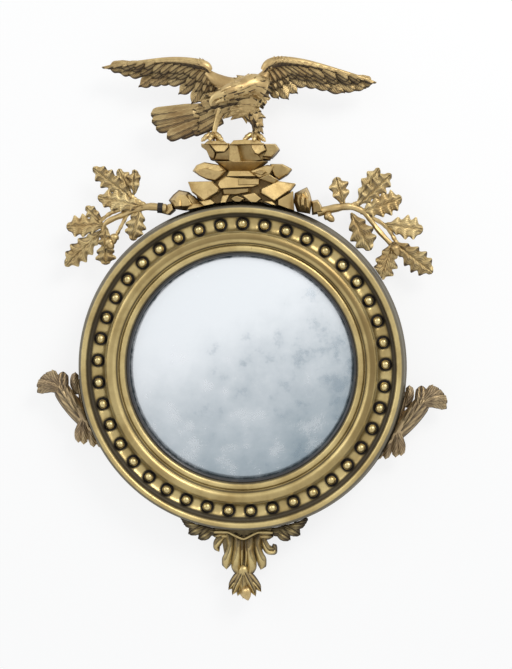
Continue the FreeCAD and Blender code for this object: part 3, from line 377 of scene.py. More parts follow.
# painted shade on the back half of each ball, where it sits down in its pocket
skirt_shade = ((depth * 1000.0) + (scuff - 0.5) * 2.0).between(-64.5, -59.0)
leaf = scuff.between(0.3, 0.7).tint(rgb(186, 164, 110), rgb(220, 204, 152))
leaf = skirt_shade.tint(leaf, rgb(30, 23, 20))
wash.close(leaf, 0.26 + scuff * 0.15 + skirt_shade * 0.2, 0.9 - skirt_shade * 0.7, scuff.bump(0.1, 0.0006))
piece("gilt_balls", balls_bm, ball_gilding, ["ball_ornaments"])

# ---------------- rockwork
# The crest stands on a heap of rocks cut from blocks of pine with flat chisel facets, each block
# glued and screwed to the straps behind. Painted highlights lie on the edges, and painted shade on
# facets that look down and in the gaps.
FRAME_RADIUS = 334.0
ROCK_TOP = 119.0
ROCK_DEPTH = 78.0
STONE_BACK = 4.4
CHAMFER = 0.7
SCRIBED = 334.4


def hew(bm, corners, front, tilt=0.0, lean=0.0, waist=0.84, rise=9.0):
    """One stone: an outline of (x, height above the ring), cut back all round to a flat front facet."""
    block = carving()
    x_mid = sum(x for x, _ in corners) / len(corners)
    up_mid = sum(up for _, up in corners) / len(corners)
    rings = []
    for share, depth, slope in ((0.97, STONE_BACK, 0.0), (1.0, front - rise, 0.0), (waist, front, 1.0)):
        rings.append([block.verts.new((
            x_mid + (x - x_mid) * share,
            -min(depth + slope * (tilt * (up - up_mid) + lean * (x - x_mid)), ROCK_DEPTH),
            FRAME_RADIUS + up_mid + (up - up_mid) * share)) for x, up in corners])
    for low, high in zip(rings, rings[1:]):
        for index in range(len(corners)):
            after = (index + 1) % len(corners)
            block.faces.new((low[index], low[after], high[after], high[index]))
    block.faces.new(rings[0])
    block.faces.new(rings[-1])
    bmesh.ops.bevel(block, geom=block.edges[:], offset=CHAMFER, offset_type="OFFSET", segments=1,
                    profile=0.5, affect="EDGES", material=-1)
    bmesh.ops.triangulate(block, faces=[face for face in block.faces if len(face.verts) > 4])
    kept = bpy.data.meshes.new("stone")
    block.to_mesh(kept)
    block.free()
    bm.from_mesh(kept)
    bpy.data.meshes.remove(kept)


def scribe(bm):
    """Trims carved work to the ring's edge and to the wall."""
    for vert in bm.verts:
        reach = hypot(vert.co.x, vert.co.z)
        if reach < SCRIBED:
            vert.co.x *= SCRIBED / reach
            vert.co.z *= SCRIBED / reach
        vert.co.y = min(vert.co.y, 0.0)


def carver_gilding(name, light, mid, shade, vein=0.0, red=0.35, gloss=0.30, ground=0.0, facet_shade=0.0,
                   rough=0.0007):
    """Water gilding on carved pine: a painted highlight on its edges, painted shade in its hollows and
    vein grooves, and red bole where it is rubbed.

    What lies behind the ground's depth gets painted shade too, and so do facets that look down.
    """
    material, wash = new_finish(name)
    edge = wash.node("NewGeometry", {}, {}, "Pointiness")
    patch = wash.noise(22.0, 5.0, 0.6)
    scuff = wash.noise(150.0, 6.0, 0.7)
    chisel = wash.noise(420.0, 3.0, 0.6)
    # painted shade: hollows found by pointiness are darkened towards the shade colour
    recess_shade = 1 - (edge + (scuff - 0.5) * 0.05).between(0.442, 0.512)
    crest = (edge + (scuff - 0.5) * 0.06).between(0.505, 0.57)
    leaf = patch.between(0.34, 0.68).tint(mid, light)
    # painted highlight: convex edges found by pointiness are lightened towards the light colour
    leaf = (crest * 0.7).tint(leaf, light)
    rubbed = (crest * 0.5 + (scuff - 0.5) * 1.3 + (patch - 0.5) * 0.8).between(0.42, 0.8)
    leaf = (rubbed * red).tint(leaf, rgb(122, 74, 46))
    if facet_shade:
        normal = wash.node("NewGeometry", {}, {}, "Normal")
        looks, aside = wash.axis("Z", normal), wash.axis("X", normal)
        # painted shade: facets whose normals look down or to the left are darkened
        facing_shade = 1 - (looks + aside * 0.5 + (patch - 0.5) * 0.9).between(-0.4, 0.35)
        leaf = (facing_shade * facet_shade).tint(leaf, shade)
    if ground:
        # painted shade: whatever lies deeper than the ground is darkened like a hollow
        recess_shade = wash.maths("MAXIMUM", recess_shade, wash.axis("Y").between(-ground, 0.008 - ground))
    # painted shade laid into the hollows and behind the ground
    leaf = (recess_shade * 0.92).tint(leaf, shade)
    relief = (patch * 0.5 + scuff * 0.4 + chisel * 0.25).bump(0.35, rough)
    if vein:
        along = wash.axis("X", wash.place("UV"))
        beside = abs(wash.axis("Y", wash.place("UV")) - 0.5)
        line = wash.maths("SINE", (along * vein - beside * vein * 0.9) * tau)
        line = line.between(-1.0, 0.6)
        relief = line.bump(0.55, 0.0012, relief)
        # painted shade in the vein grooves
        leaf = ((1 - line) * 0.4).tint(leaf, shade)
    wash.close(leaf, gloss + scuff * 0.18 + recess_shade * 0.25, 0.86 - recess_shade * 0.55, relief)
    return material


rock_gilding = carver_gilding("rock_gilding", rgb(216, 190, 132), rgb(160, 128, 76), rgb(78, 56, 32),
                              red=0.35, ground=0.050, facet_shade=0.55, rough=0.0018)
ring_edge = [(FRAME_RADIUS * sin(radians(step)), FRAME_RADIUS * cos(radians(step)) - 333.4)
             for step in range(15, -17, -3)]
middle_core = ([(-80, 70), (80, 70), (66, 43), (96, 28), (90, -8)] + ring_edge
               + [(-86, -8), (-96, 28), (-60, 42)])
STONES = {
    "rocks_summit": (["rock_summit"], (
        (((-76, 115), (72, 115), (58, 84), (-62, 84)), 50),
        (((-65, 117), (-23, 117), (-23, 108), (-31, 98), (-50, 98), (-56, 106)), 76, -0.3),
        (((-81, 117), (-64, 117), (-54, 103), (-50, 97), (-54, 84), (-64, 89), (-70, 104), (-80, 110)), 64,
         0.2, 0.3),
        (((-50, 97), (-31, 98), (-21, 108), (-20, 82), (-54, 84)), 68, 0.45),
        (((-25, 117), (-6, 116), (2, 76), (-9, 74), (-25, 80)), 66, 0.1, -0.2),
        (((-7, 116), (24, 117), (34, 94), (46, 82), (1, 76)), 62, 0.2, 0.35),
        (((18, 117), (46, 117), (52, 102), (36, 92), (28, 95), (22, 106)), 77, -0.3),
        (((46, 116), (69, 116), (77, 106), (69, 96), (61, 88), (42, 89), (52, 102)), 66, 0.25, -0.3),
        (((-22, 113), (-14, 122), (6, 123), (36, 122), (47, 114)), 78, -0.2, 0.0, 0.94, 4),
        (((-74, 114), (-66, 121), (-34, 122), (-24, 114)), 78, -0.2, 0.0, 0.94, 4))),
    "rocks_middle": (["rock_middle"], (
        (middle_core, 46),
        (((-98, 62), (-90, 74), (-74, 80), (-41, 74), (-29, 62), (-48, 58), (-70, 62)), 64, -0.35),
        (((-98, 62), (-84, 52), (-70, 45), (-50, 41), (-37, 51), (-29, 62), (-50, 62), (-70, 68)), 72, 0.1,
         -0.15),
        (((-54, 82), (54, 82), (26, 60), (-27, 60)), 60, 0.5),
        (((-25, 62), (18, 62), (32, 50), (-31, 50)), 70, -0.5, 0.0, 0.9),
        (((-45, 41), (-31, 51), (-5, 47), (37, 46), (37, 33), (28, 29), (-43, 25), (-48, 33)), 74, -0.2,
         0.0, 0.9, 5),
        (((-5, 45), (37, 45), (37, 34), (-5, 33)), 78, -0.1, 0.0, 0.94, 3),
        (((-40, 25), (19, 27), (18, 19), (-9, 14), (-37, 14)), 72, 0.2),
        (((18, 61), (52, 74), (70, 72), (60, 54), (36, 46), (22, 54)), 68, -0.1, 0.25),
        (((58, 76), (83, 76), (102, 66), (93, 55), (75, 44), (66, 51), (60, 65)), 62, 0.2, -0.3),
        (((56, 56), (75, 44), (69, 34), (34, 46)), 72, 0.3),
        (((24, 58), (38, 64), (52, 60), (42, 52)), 74, 0.1, 0.4),
        (((-106, 40), (-56, 41), (-41, 27), (-43, 19), (-74, 0), (-98, 19)), 76, -0.25, 0.1, 0.86, 6),
        (((110, 36), (75, 41), (38, 25), (38, 16), (67, -1), (99, 22)), 76, -0.25, -0.1, 0.86, 6),
        (((-42, -5), (-37, 13), (-21, 15), (-29, -6)), 77, -0.2, 0.4),
        (((-22, 6), (-9, 13), (9, 6), (-1, -3), (-12, -1)), 70, 0.2),
        (((3, 13), (28, 19), (43, 6), (32, -5), (20, -4)), 77, -0.1, 0.3),
        (((-84, 1), (-60, 6), (-50, -2), (-54, -7), (-74, -12)), 74, -0.2),
        (((44, 2), (64, 1), (73, -8), (61, -11)), 74, -0.2))),
    "rocks_left": (["rock_base_left"], (
        (((-148, 4), (-139, 15), (-127, 25), (-107, 21), (-93, 6), (-86, -10), (-96, -16), (-115, -17),
          (-135, -14)), 66, -0.1, 0.1, 0.55, 26),
        (((-141, 0), (-133, 10), (-119, 8), (-118, -12), (-134, -12)), 64, -0.2, 0.5, 0.7),
        (((-108, 16), (-98, 14), (-84, 0), (-78, -10), (-92, -14), (-104, -8)), 60, 0.0, -0.5),
        (((-104, -4), (-84, -2), (-70, -8), (-88, -14), (-110, -17)), 66, -0.5),
        (((-163, -22), (-150, -4), (-140, -2), (-136, -16), (-148, -26)), 50, 0.0, 0.4))),
    "rocks_right": (["rock_base_right"], (
        (((73, 4), (90, 14), (104, 22), (106, -18), (95, -16), (73, -8)), 70, 0.1, -0.6),
        (((107, 18), (132, 30), (138, 18), (142, 2), (138, -24), (112, -20), (105, 0)), 62, 0.0, 0.1, 0.6,
         18),
        (((116, 6), (122, 20), (130, 12), (130, -18), (118, -18)), 74, 0.0, 0.2, 0.4, 14),
        (((128, 12), (136, 14), (140, -4), (138, -20), (130, -18)), 68, 0.0, -0.5, 0.5, 12),
        (((140, 2), (154, 5), (162, -8), (165, -22), (142, -26)), 58, 0.1, 0.2, 0.7, 12))),
}
for label, (nodes, rows) in STONES.items():
    rocks_bm = carving()
    for row in rows:
        hew(rocks_bm, *row)
    scribe(rocks_bm)
    piece(label, rocks_bm, rock_gilding, nodes, sharp=0.35)

# ---------------- the eagle's body and legs
# Carved from one block of pine: a bird in profile facing right, chest on the right, small
# overlapping feathers cut over a smooth body, a feathered thigh, and two feet that grip the rock.
FRONT = Vector((0, -1, 0))
EAGLE_DEPTH = 62.0
# Place in the UV map where the vein pattern is at its crest, so that it leaves a limb smooth.
NO_VEIN = (0.028, 0.5)


def eagle(x, up, out=0.0):
    """Point of the eagle: x, height above its rock, distance out of its middle plane."""
    return Vector((x, -EAGLE_DEPTH - out, FRAME_RADIUS + ROCK_TOP + up))


def bearing(angle):
    """Direction in the plane of the front, in degrees up from the right."""
    return Vector((cos(radians(angle)), 0, sin(radians(angle))))


def track(point_of, *rows):
    """Points of a path, each a row of what point_of takes."""
    return [point_of(*row) for row in rows]


def flowing(knots, share):
    """Value on the smooth line through knots, which are numbers or vectors."""
    place = min(max(share, 0.0), 1.0) * (len(knots) - 1)
    index = min(int(place), len(knots) - 2)
    t = place - index
    a, b = knots[max(index - 1, 0)], knots[index]
    c, d = knots[index + 1], knots[min(index + 2, len(knots) - 1)]
    return (b * 2 + (c - a) * t + (a * 2 - b * 5 + c * 4 - d) * t ** 2
            + (b * 3 - a - c * 3 + d) * t ** 3) * 0.5


def lay_grid(bm, steps, sides, shape):
    """Grid whose corners go where shape(u, v) says, u and v from 0 to 1."""
    made = bmesh.ops.create_grid(bm, x_segments=steps, y_segments=sides, size=1.0, calc_uvs=True)["verts"]
    for vert in made:
        vert.co = shape((vert.co.x + 1) / 2, (vert.co.y + 1) / 2)
    return made


def limb(bm, path, radii, flatten=1.0, sides=20, steps=24, ripple=None):
    """Round tapering member along a smooth path, closed at both ends."""
    def shape(u, v):
        here = flowing(path, u)
        along = (flowing(path, u + 0.02) - flowing(path, u - 0.02)).normalized()
        aside = along.cross(FRONT if abs(along.y) < 0.9 else Vector((0, 0, 1))).normalized()
        through = aside.cross(along)
        swell = flowing(radii, u) + (ripple(u, v) if ripple else 0.0)
        turned_to = tau * v
        return (here + aside * (swell * cos(turned_to))
                + through * (swell * flatten * sin(turned_to)))
    made = lay_grid(bm, steps, sides, shape)
    bmesh.ops.remove_doubles(bm, verts=made, dist=0.001)
    made = [vert for vert in made if vert.is_valid]
    plain_uv = bm.loops.layers.uv.verify()
    for loop in (loop for vert in made for loop in vert.link_loops):
        loop[plain_uv].uv = NO_VEIN
    rims = list({edge for vert in made for edge in vert.link_edges if edge.is_boundary})
    bmesh.ops.holes_fill(bm, edges=rims, sides=0)


def feather(bm, root, tip, width, out=FRONT, thick=3.0, blunt=0.22, camber=2.2, point=0.10, grid=(14, 6)):
    """Feather with a raised shaft, its barbs left to the finish."""
    run = tip - root
    along = run.normalized()
    face = (out - along * out.dot(along)).normalized()
    aside = face.cross(along)

    def shape(u, v):
        v = 2 * v - 1
        half = width / 2 * (0.62 + 0.38 * min(1.0, u * 2.2))
        if u > 1 - blunt:
            half *= sqrt(max(0.0, 1 - ((u - 1 + blunt) / blunt) ** 2)) * 0.96 + 0.04
        rise = 1.3 * exp(-(v / 0.2) ** 2) - camber * v * v
        return root + run * (u - point * abs(v) * u) + aside * (v * half) + face * rise
    made = lay_grid(bm, grid[0], grid[1], shape)
    faces = list({found for vert in made for found in vert.link_faces})
    bmesh.ops.solidify(bm, geom=faces, thickness=thick)


def plumage(bm, path, radii, flatten, rows, length, width, reverse=False, span=(0.06, 0.44), seed=1):
    """Overlapping small feathers on the front of a limb, lying along it."""
    hand = random.Random(seed)
    for row in range(rows):
        share = (row + 0.5) / rows
        here = flowing(path, share)
        along = (flowing(path, share + 0.02) - flowing(path, share - 0.02)).normalized()
        aside = along.cross(FRONT).normalized()
        through = aside.cross(along)
        swell = flowing(radii, share)
        count = max(3, round(pi * swell * 0.9 / width))
        for index in range(count):
            share_of = (index + 0.5 * (row % 2)) / (count - 0.5)
            turned_to = tau * (span[0] + (span[1] - span[0]) * share_of)
            out = (aside * cos(turned_to) + through * sin(turned_to)).normalized()
            spot = (here + aside * (swell * cos(turned_to))
                    + through * (swell * flatten * sin(turned_to)))
            way = (-along if reverse else along) * length * hand.uniform(0.85, 1.15)
            way += Vector((0, 0, hand.uniform(-2.5, 2.5)))
            feather(bm, spot - way * 0.2 - out * 1.5, spot + way * 0.8 + out * 0.1, width, out=out,
                    thick=1.8, blunt=0.45, camber=1.8, grid=(10, 4))


feather_gilding = carver_gilding("feather_gilding", rgb(208, 184, 132), rgb(162, 134, 90), rgb(46, 34, 26),
                                 vein=9.0, red=0.45)
plain_gilding = carver_gilding("plain_gilding", rgb(204, 180, 128), rgb(158, 132, 88), rgb(44, 34, 26),
                               red=0.4)

body_bm = carving()
trunk = track(eagle, (-76, 66), (-50, 76), (-20, 86), (12, 90), (36, 88), (50, 80))
trunk_radii = [9, 21, 36, 42, 33, 10]
limb(body_bm, trunk, trunk_radii, flatten=0.7, sides=28, steps=32)
limb(body_bm, track(eagle, (-68, 138, 2), (-50, 124, 4), (-28, 114, 6), (0, 106, 8)),
     [8, 13, 16, 20], sides=20, steps=20)
limb(body_bm, track(eagle, (52, 138, 2), (42, 122, 6), (24, 108, 8)), [9, 15, 18], sides=20, steps=16)
plumage(body_bm, trunk, trunk_radii, 0.7, 9, 30, 15, reverse=True, span=(0.04, 0.46), seed=3)
thigh = track(eagle, (14, 66, -4), (30, 46, -2), (34, 30, -1))
limb(body_bm, thigh, [22, 15, 8], sides=20, steps=14)
plumage(body_bm, thigh, [21, 14, 8], 1.0, 4, 20, 11, span=(0.06, 0.46), seed=4)
piece("bird_body", body_bm, feather_gilding, ["eagle_body"])


def claw_foot(bm, ankle, toes):
    """Toes with knuckles and a hooked claw, spread over the rock."""
    for reach, out in toes:
        knuckle = ankle + Vector((reach * 0.45, -out * 0.5, -2))
        tip = ankle + Vector((reach * 0.9, -out * 0.9, -10.5))
        claw = ankle + Vector((reach * 1.08, -out * 1.05, -15))
        limb(bm, [ankle, knuckle, tip, claw], [5.4, 5.6, 4.2, 1.0], sides=12, steps=16,
             ripple=lambda u, v: 0.5 * sin(u * 30))


LEGS = (
    ("left", ((-38, 64, 8), (-48, 40, 8), (-54, 15, 8)), [12, 6.2, 5.2], 20, 46,
     ((-22, 10), (-6, 22), (18, 12), (9, -14))),
    ("right", ((34, 36, -2), (30, 24, -2), (26, 15, -2)), [9, 6.6, 6], 14, 30,
     ((-20, 12), (2, 24), (22, 13), (11, -14))),
)
for side, path, radii, steps, wrinkles, toes in LEGS:
    legs_bm = carving()
    limb(legs_bm, track(eagle, *path), radii, sides=16, steps=steps,
         ripple=lambda u, v: 0.4 * sin(u * wrinkles))
    claw_foot(legs_bm, eagle(*path[-1]), toes)
    piece(f"bird_leg_{side}", legs_bm, plain_gilding, [f"eagle_leg_{side}"])

# ---------------- the eagle's head
# The neck turns back across the body and down, so the head looks to the viewer's left: a heavy
# brow, a hooked beak part open, an eye drilled under the brow, hackles along the neck.
head_bm = carving()
neck = track(eagle, (40, 106, 20), (24, 111, 34), (4, 103, 44), (-14, 97, 50), (-27, 92, 52),
             (-37, 87, 52))
neck_radii = [24, 21, 17.5, 16, 14, 7]
limb(head_bm, neck, neck_radii, sides=24, steps=30)
plumage(head_bm, neck, neck_radii, 1.0, 8, 22, 9, reverse=True, span=(0.02, 0.5), seed=8)
limb(head_bm,
     track(eagle, (-31, 90, 54), (-42, 88, 54), (-51, 83, 54), (-56, 74, 53), (-55, 67, 53)),
     [9, 8, 6.2, 3.6, 0.8], sides=16, steps=22)
limb(head_bm, track(eagle, (-30, 81, 53), (-40, 77, 53), (-47, 72, 53)), [6, 4, 1.0], sides=12, steps=12)
limb(head_bm, track(eagle, (-16, 104, 62), (-26, 100, 65), (-36, 95, 64)), [2.4, 2.8, 1.4], sides=10,
     steps=12)
bmesh.ops.create_uvsphere(head_bm, u_segments=12, v_segments=8, radius=2.6,
                          matrix=Matrix.Translation(eagle(-27, 94, 66)))
piece("bird_head", head_bm, feather_gilding, ["eagle_head"])

# ---------------- wings and tail
# Each wing is a separate piece dowelled to the shoulder: a rolled leading edge with scale feathers,
# two rows of coverts and long flight feathers whose ends make the ragged lower edge.


def wing(bm, edge, radii, tips, roots, seed):
    """Leading edge, flight feathers to their tips, two rows of coverts and a row of scales."""
    hand = random.Random(seed)
    line = track(eagle, *edge)
    root_line = track(eagle, *roots)
    limb(bm, line, radii, sides=18, steps=40, flatten=0.85)
    for index, tip in enumerate(tips):
        share = index / (len(tips) - 1)
        root, end = flowing(root_line, share), eagle(*tip)
        wide = 17 + 0.09 * (end - root).length
        level = 2 * (index % 2)
        feather(bm, root + Vector((0, 5 + level, 0)), end + Vector((0, 3 + level, 0)), wide, thick=3.4,
                blunt=0.2, camber=3.0, grid=(22, 8))
    for layer, share_of, out, wide in ((0, 0.64, 3, 15), (1, 0.40, 8, 13)):
        count = len(tips) + 2 * layer
        for index in range(count):
            share = (index + 0.4) / count
            root = flowing(root_line, share)
            place = share * (len(tips) - 1)
            low = min(int(place), len(tips) - 2)
            end = eagle(*tips[low]).lerp(eagle(*tips[low + 1]), place - low)
            way = (end - root) * share_of * hand.uniform(0.9, 1.1)
            feather(bm, root + Vector((0, -out, 3)), root + way + Vector((0, -out, 0)), wide, thick=3.0,
                    blunt=0.3, camber=2.6, grid=(16, 6))
    for row in range(2):
        for index in range(18):
            share = (index + 0.5 * row) / 18
            here = flowing(line, share)
            along = (flowing(line, share + 0.03) - flowing(line, share - 0.03)).normalized()
            swell = flowing(radii, share)
            out = (FRONT * (0.95 - 0.5 * row) + Vector((0, 0, -0.25 + 0.95 * row))).normalized()
            spot = here + out * swell * 0.82
            feather(bm, spot, spot + along * 22 + Vector((0, 0, -3)), 5 + swell * 0.7, out=out, thick=2.0,
                    blunt=0.45, camber=1.4, grid=(8, 4))


WINGS = {
    "left": dict(
        edge=((-62, 140, 6), (-72, 150.6, 6), (-104, 159.4, 4), (-146, 162.6, 2), (-200, 159, 0),
              (-262, 153, 0)),
        radii=[7, 11, 9, 7, 5, 2],
        tips=((-56, 84), (-80, 78), (-100, 78), (-126, 98), (-150, 118), (-170, 120), (-186, 116),
              (-206, 113), (-228, 136), (-246, 142), (-267, 152)),
        roots=((-48, 130), (-80, 144), (-140, 154), (-216, 156)), seed=5),
    "right": dict(
        edge=((46, 140, 6), (58, 152.6, 6), (84, 159.4, 4), (130, 155, 2), (190, 141, 0), (254, 122, 0)),
        radii=[8, 12, 10, 8, 5, 3.4],
        tips=((52, 94), (76, 88), (96, 86), (114, 98), (134, 112), (158, 111), (182, 106), (208, 99),
              (232, 103), (250, 108), (263, 118)),
        roots=((44, 130), (72, 146), (120, 146), (226, 127)), seed=6),
}
for side, form in WINGS.items():
    wing_bm = carving()
    wing(wing_bm, **form)
    piece(f"bird_wing_{side}", wing_bm, feather_gilding, [f"eagle_wing_{side}"])

tail_bm = carving()
TAIL_TIPS = ((-180, 58), (-178, 44), (-170, 30), (-148, 12), (-124, 17), (-98, 24))
limb(tail_bm, track(eagle, (-40, 72), (-78, 62), (-96, 56)), [20, 15, 7], flatten=0.5, steps=16)
for index, tip in enumerate(TAIL_TIPS):
    root = eagle(-52 + 3 * index, 72 - 5 * index, 3 * (index % 2))
    feather(tail_bm, root, eagle(*tip, out=2 * (index % 2)), 23, thick=4.0, blunt=0.13, camber=3.4,
            point=-0.01, grid=(24, 8))
for index in range(6):
    root = eagle(-46 - 2 * (index % 2), 80 - 7 * index, 8 + 2 * (index % 2))
    feather(tail_bm, root, root + Vector((-40, 0, -14 - 2 * index)), 16, thick=3.0, blunt=0.35,
            grid=(14, 6))
piece("bird_tail", tail_bm, feather_gilding, ["eagle_tail"])

# ---------------- oak sprays
# Two sprays of oak leaves and acorns on wired stems, carved thin and undercut, stand out from the
# ring beside the rocks. Each leaf has a cut midrib, lobes that lean forward, and rolled edges.
SPRAY_DEPTH = 44.0
SPRAY_ANGLE = radians(26)


def spray(side, x, up, out=0.0):
    """Point of a spray, measured from the ring's edge beside the rocks."""
    return Vector((side * FRAME_RADIUS * sin(SPRAY_ANGLE) + x, -SPRAY_DEPTH - out,
                   FRAME_RADIUS * cos(SPRAY_ANGLE) + up))


def oak_leaf(bm, base, length, angle, width, roll, lobes=4):
    """Lobed leaf with flutes that run from the midrib to its lobes."""
    turned_to = radians(angle)
    along = bearing(angle)
    level = Vector((-sin(turned_to), 0, cos(turned_to)))
    aside = Matrix.Rotation(radians(-roll), 3, along) @ level
    face = aside.cross(along).normalized()
    if face.y > 0:
        face = -face

    def shape(u, v):
        v = 2 * v - 1
        wave = cos(tau * lobes * u)
        full = max(0.09, sin(pi * min(1.0, u) ** 1.25) ** 0.62 if u < 1 else 0.0)
        half = width / 2 * full * (1.04 - 0.36 * (0.5 - 0.5 * wave))
        ahead = 0.24 * abs(v) * half * (1 - u ** 3)
        rise = (2.8 * wave * abs(v) ** 1.1 - 3.2 * exp(-(v / 0.12) ** 2)
                - 3.4 * v * v + 3.6 * sin(pi * u))
        return base + along * (length * u * 0.96 + ahead) + aside * (v * half) + face * rise
    made = lay_grid(bm, lobes * 11, 14, shape)
    faces = list({found for vert in made for found in vert.link_faces})
    bmesh.ops.solidify(bm, geom=faces, thickness=2.6)


def acorn(bm, base, angle):
    """Acorn in its rough cup."""
    along = bearing(angle)
    limb(bm, [base + along * reach for reach in (0, 3, 7, 10, 10.5)], [3, 7.6, 9.2, 8.8, 7.2], sides=18,
         steps=16, ripple=lambda u, v: 0.5 * sin(u * 26) * sin(v * tau * 9))
    limb(bm, [base + along * reach for reach in (8, 12, 17, 21.5, 24)], [7, 7.2, 6.6, 4.2, 0.6], sides=18,
         steps=16)


leaf_gilding = carver_gilding("leaf_gilding", rgb(222, 200, 146), rgb(178, 150, 100), rgb(52, 38, 26),
                              vein=11.0, red=0.35)
LEAVES = {
    "oak_leaves_left_upper": (-1, (
        (-76, 45, 2, 102, 143, 42, 14, 5), (-78, 52, -6, 58, 117, 32, -24, 3),
        (-72, 50, 0, 52, 88, 32, 20, 3), (-52, 26, 6, 98, 168, 42, -12, 5),
        (-58, 24, 4, 70, 256, 42, 10, 4))),
    "oak_leaves_left_lower": (-1, (
        (-136, -6, 0, 48, 137, 28, 16, 3), (-131, -10, 3, 81, 183, 46, -12, 4),
        (-136, -22, 2, 108, 223, 46, 14, 5), (-128, -14, 8, 48, 267, 30, -16, 3),
        (-130, -44, 4, 48, 272, 42, 12, 3))),
    "oak_leaves_right_upper": (1, (
        (60, 28, 2, 60, 106, 42, -16, 3), (86, 32, -4, 86, 58, 36, 14, 4), (88, 28, 4, 94, 43, 40, -14, 5),
        (92, 13, 4, 92, 20, 52, 12, 5), (74, 12, 6, 86, -62, 52, -10, 4))),
    "oak_leaves_right_lower": (1, (
        (142, -10, 2, 80, -8, 48, 12, 4), (160, -46, 4, 102, -38, 50, -12, 5),
        (160, -46, 8, 82, -110, 48, 14, 4))),
}
for label, (side, rows) in LEAVES.items():
    leaves_bm = carving()
    for x, up, out, length, angle, width, roll, lobes in rows:
        oak_leaf(leaves_bm, spray(side, x, up, out), length, angle, width, roll, lobes)
    scribe(leaves_bm)
    piece(label.replace("oak_", "carved_"), leaves_bm, leaf_gilding, [label])

STEMS = {
    "oak_branch_left": (-1, (
        (((-6, 21), (-46, 24), (-90, 10), (-132, -12), (-130, -52)), [9, 7, 6, 5, 4]),
        (((-44, 24), (-70, 40), (-82, 54)), [5, 5, 4]), (((-62, 21), (-110, 16), (-142, -6)), [4, 4, 3.6]),
        (((-84, 10), (-104, -26), (-108, -36)), [3.5, 3.5, 3]))),
    "oak_branch_right": (1, (
        (((6, 13), (44, 22), (74, 24), (102, 11), (128, -22), (158, -54)), [9, 8, 7, 6, 5, 5]),
        (((70, 24), (92, 34)), [5, 4]), (((96, 14), (142, -14), (166, -48)), [4, 4, 4]))),
}
for label, (side, rows) in STEMS.items():
    stem_bm = carving()
    for path, radii in rows:
        limb(stem_bm, [spray(side, *point) for point in path], radii, sides=14, steps=30,
             ripple=lambda u, v: 0.5 * sin(u * 40) + 0.5 * sin(v * tau * 5 + u * 9))
    scribe(stem_bm)
    piece(label.replace("oak_", "carved_"), stem_bm, plain_gilding, [label])

ACORNS = {"acorns_left": (-1, ((-107, -30, 10, 250), (-124, -40, 14, 300))),
          "acorns_right": (1, ((160, -52, 14, -70), (22, 10, 9, -40)))}
for label, (side, rows) in ACORNS.items():
    nuts_bm = carving()
    for x, up, out, angle in rows:
        acorn(nuts_bm, spray(side, x, up, out), angle)
    piece(label.replace("acorns", "carved_acorns"), nuts_bm, plain_gilding, [label])

# ---------------- side scrolls
# An acanthus scroll is dowelled to each side of the ring, a little below its middle. Its leaf rises
# away from the ring, fans out and falls over; short lobes curl back at the top and the foot.
SCROLL_DEPTH = 34.0
SCROLL_ANGLE = radians(105)


def scroll(x, up, out=0.0):
    """Point of the left scroll, measured from the ring's edge where it is fixed."""
    return Vector((-FRAME_RADIUS * sin(SCROLL_ANGLE) + x, -SCROLL_DEPTH - out,
                   FRAME_RADIUS * cos(SCROLL_ANGLE) + up))


def acanthus(bm, spine, widths, flutes=1, camber=5.0, thick=5.0, scallop=0.0, grid=(34, 24)):
    """Lobe along a smooth spine, convex across, ribbed lengthwise and rounded at its end."""
    run = sum((there - here).length for here, there in zip(spine, spine[1:]))
    round_end = min(0.5, widths[-1] / 2 / run)

    def shape(u, v):
        u, v = 1 - (1 - u) ** 1.7, 2 * v - 1
        along = (flowing(spine, u + 0.02) - flowing(spine, u - 0.02)).normalized()
        face = (FRONT - along * FRONT.dot(along)).normalized()
        rib = cos(pi * flutes * v)
        half = flowing(widths, u) / 2 * max(0.1, 1 - max(0.0, (u - 1 + round_end) / round_end) ** 3)
        rise = 1.5 * rib * (0.4 + 0.6 * u) - camber * v * v
        return (flowing(spine, u) + along * (scallop * rib * u ** 6) + face.cross(along) * (v * half)
                + face * rise)
    made = lay_grid(bm, grid[0], grid[1], shape)
    faces = list({found for vert in made for found in vert.link_faces})
    bmesh.ops.solidify(bm, geom=faces, thickness=thick)


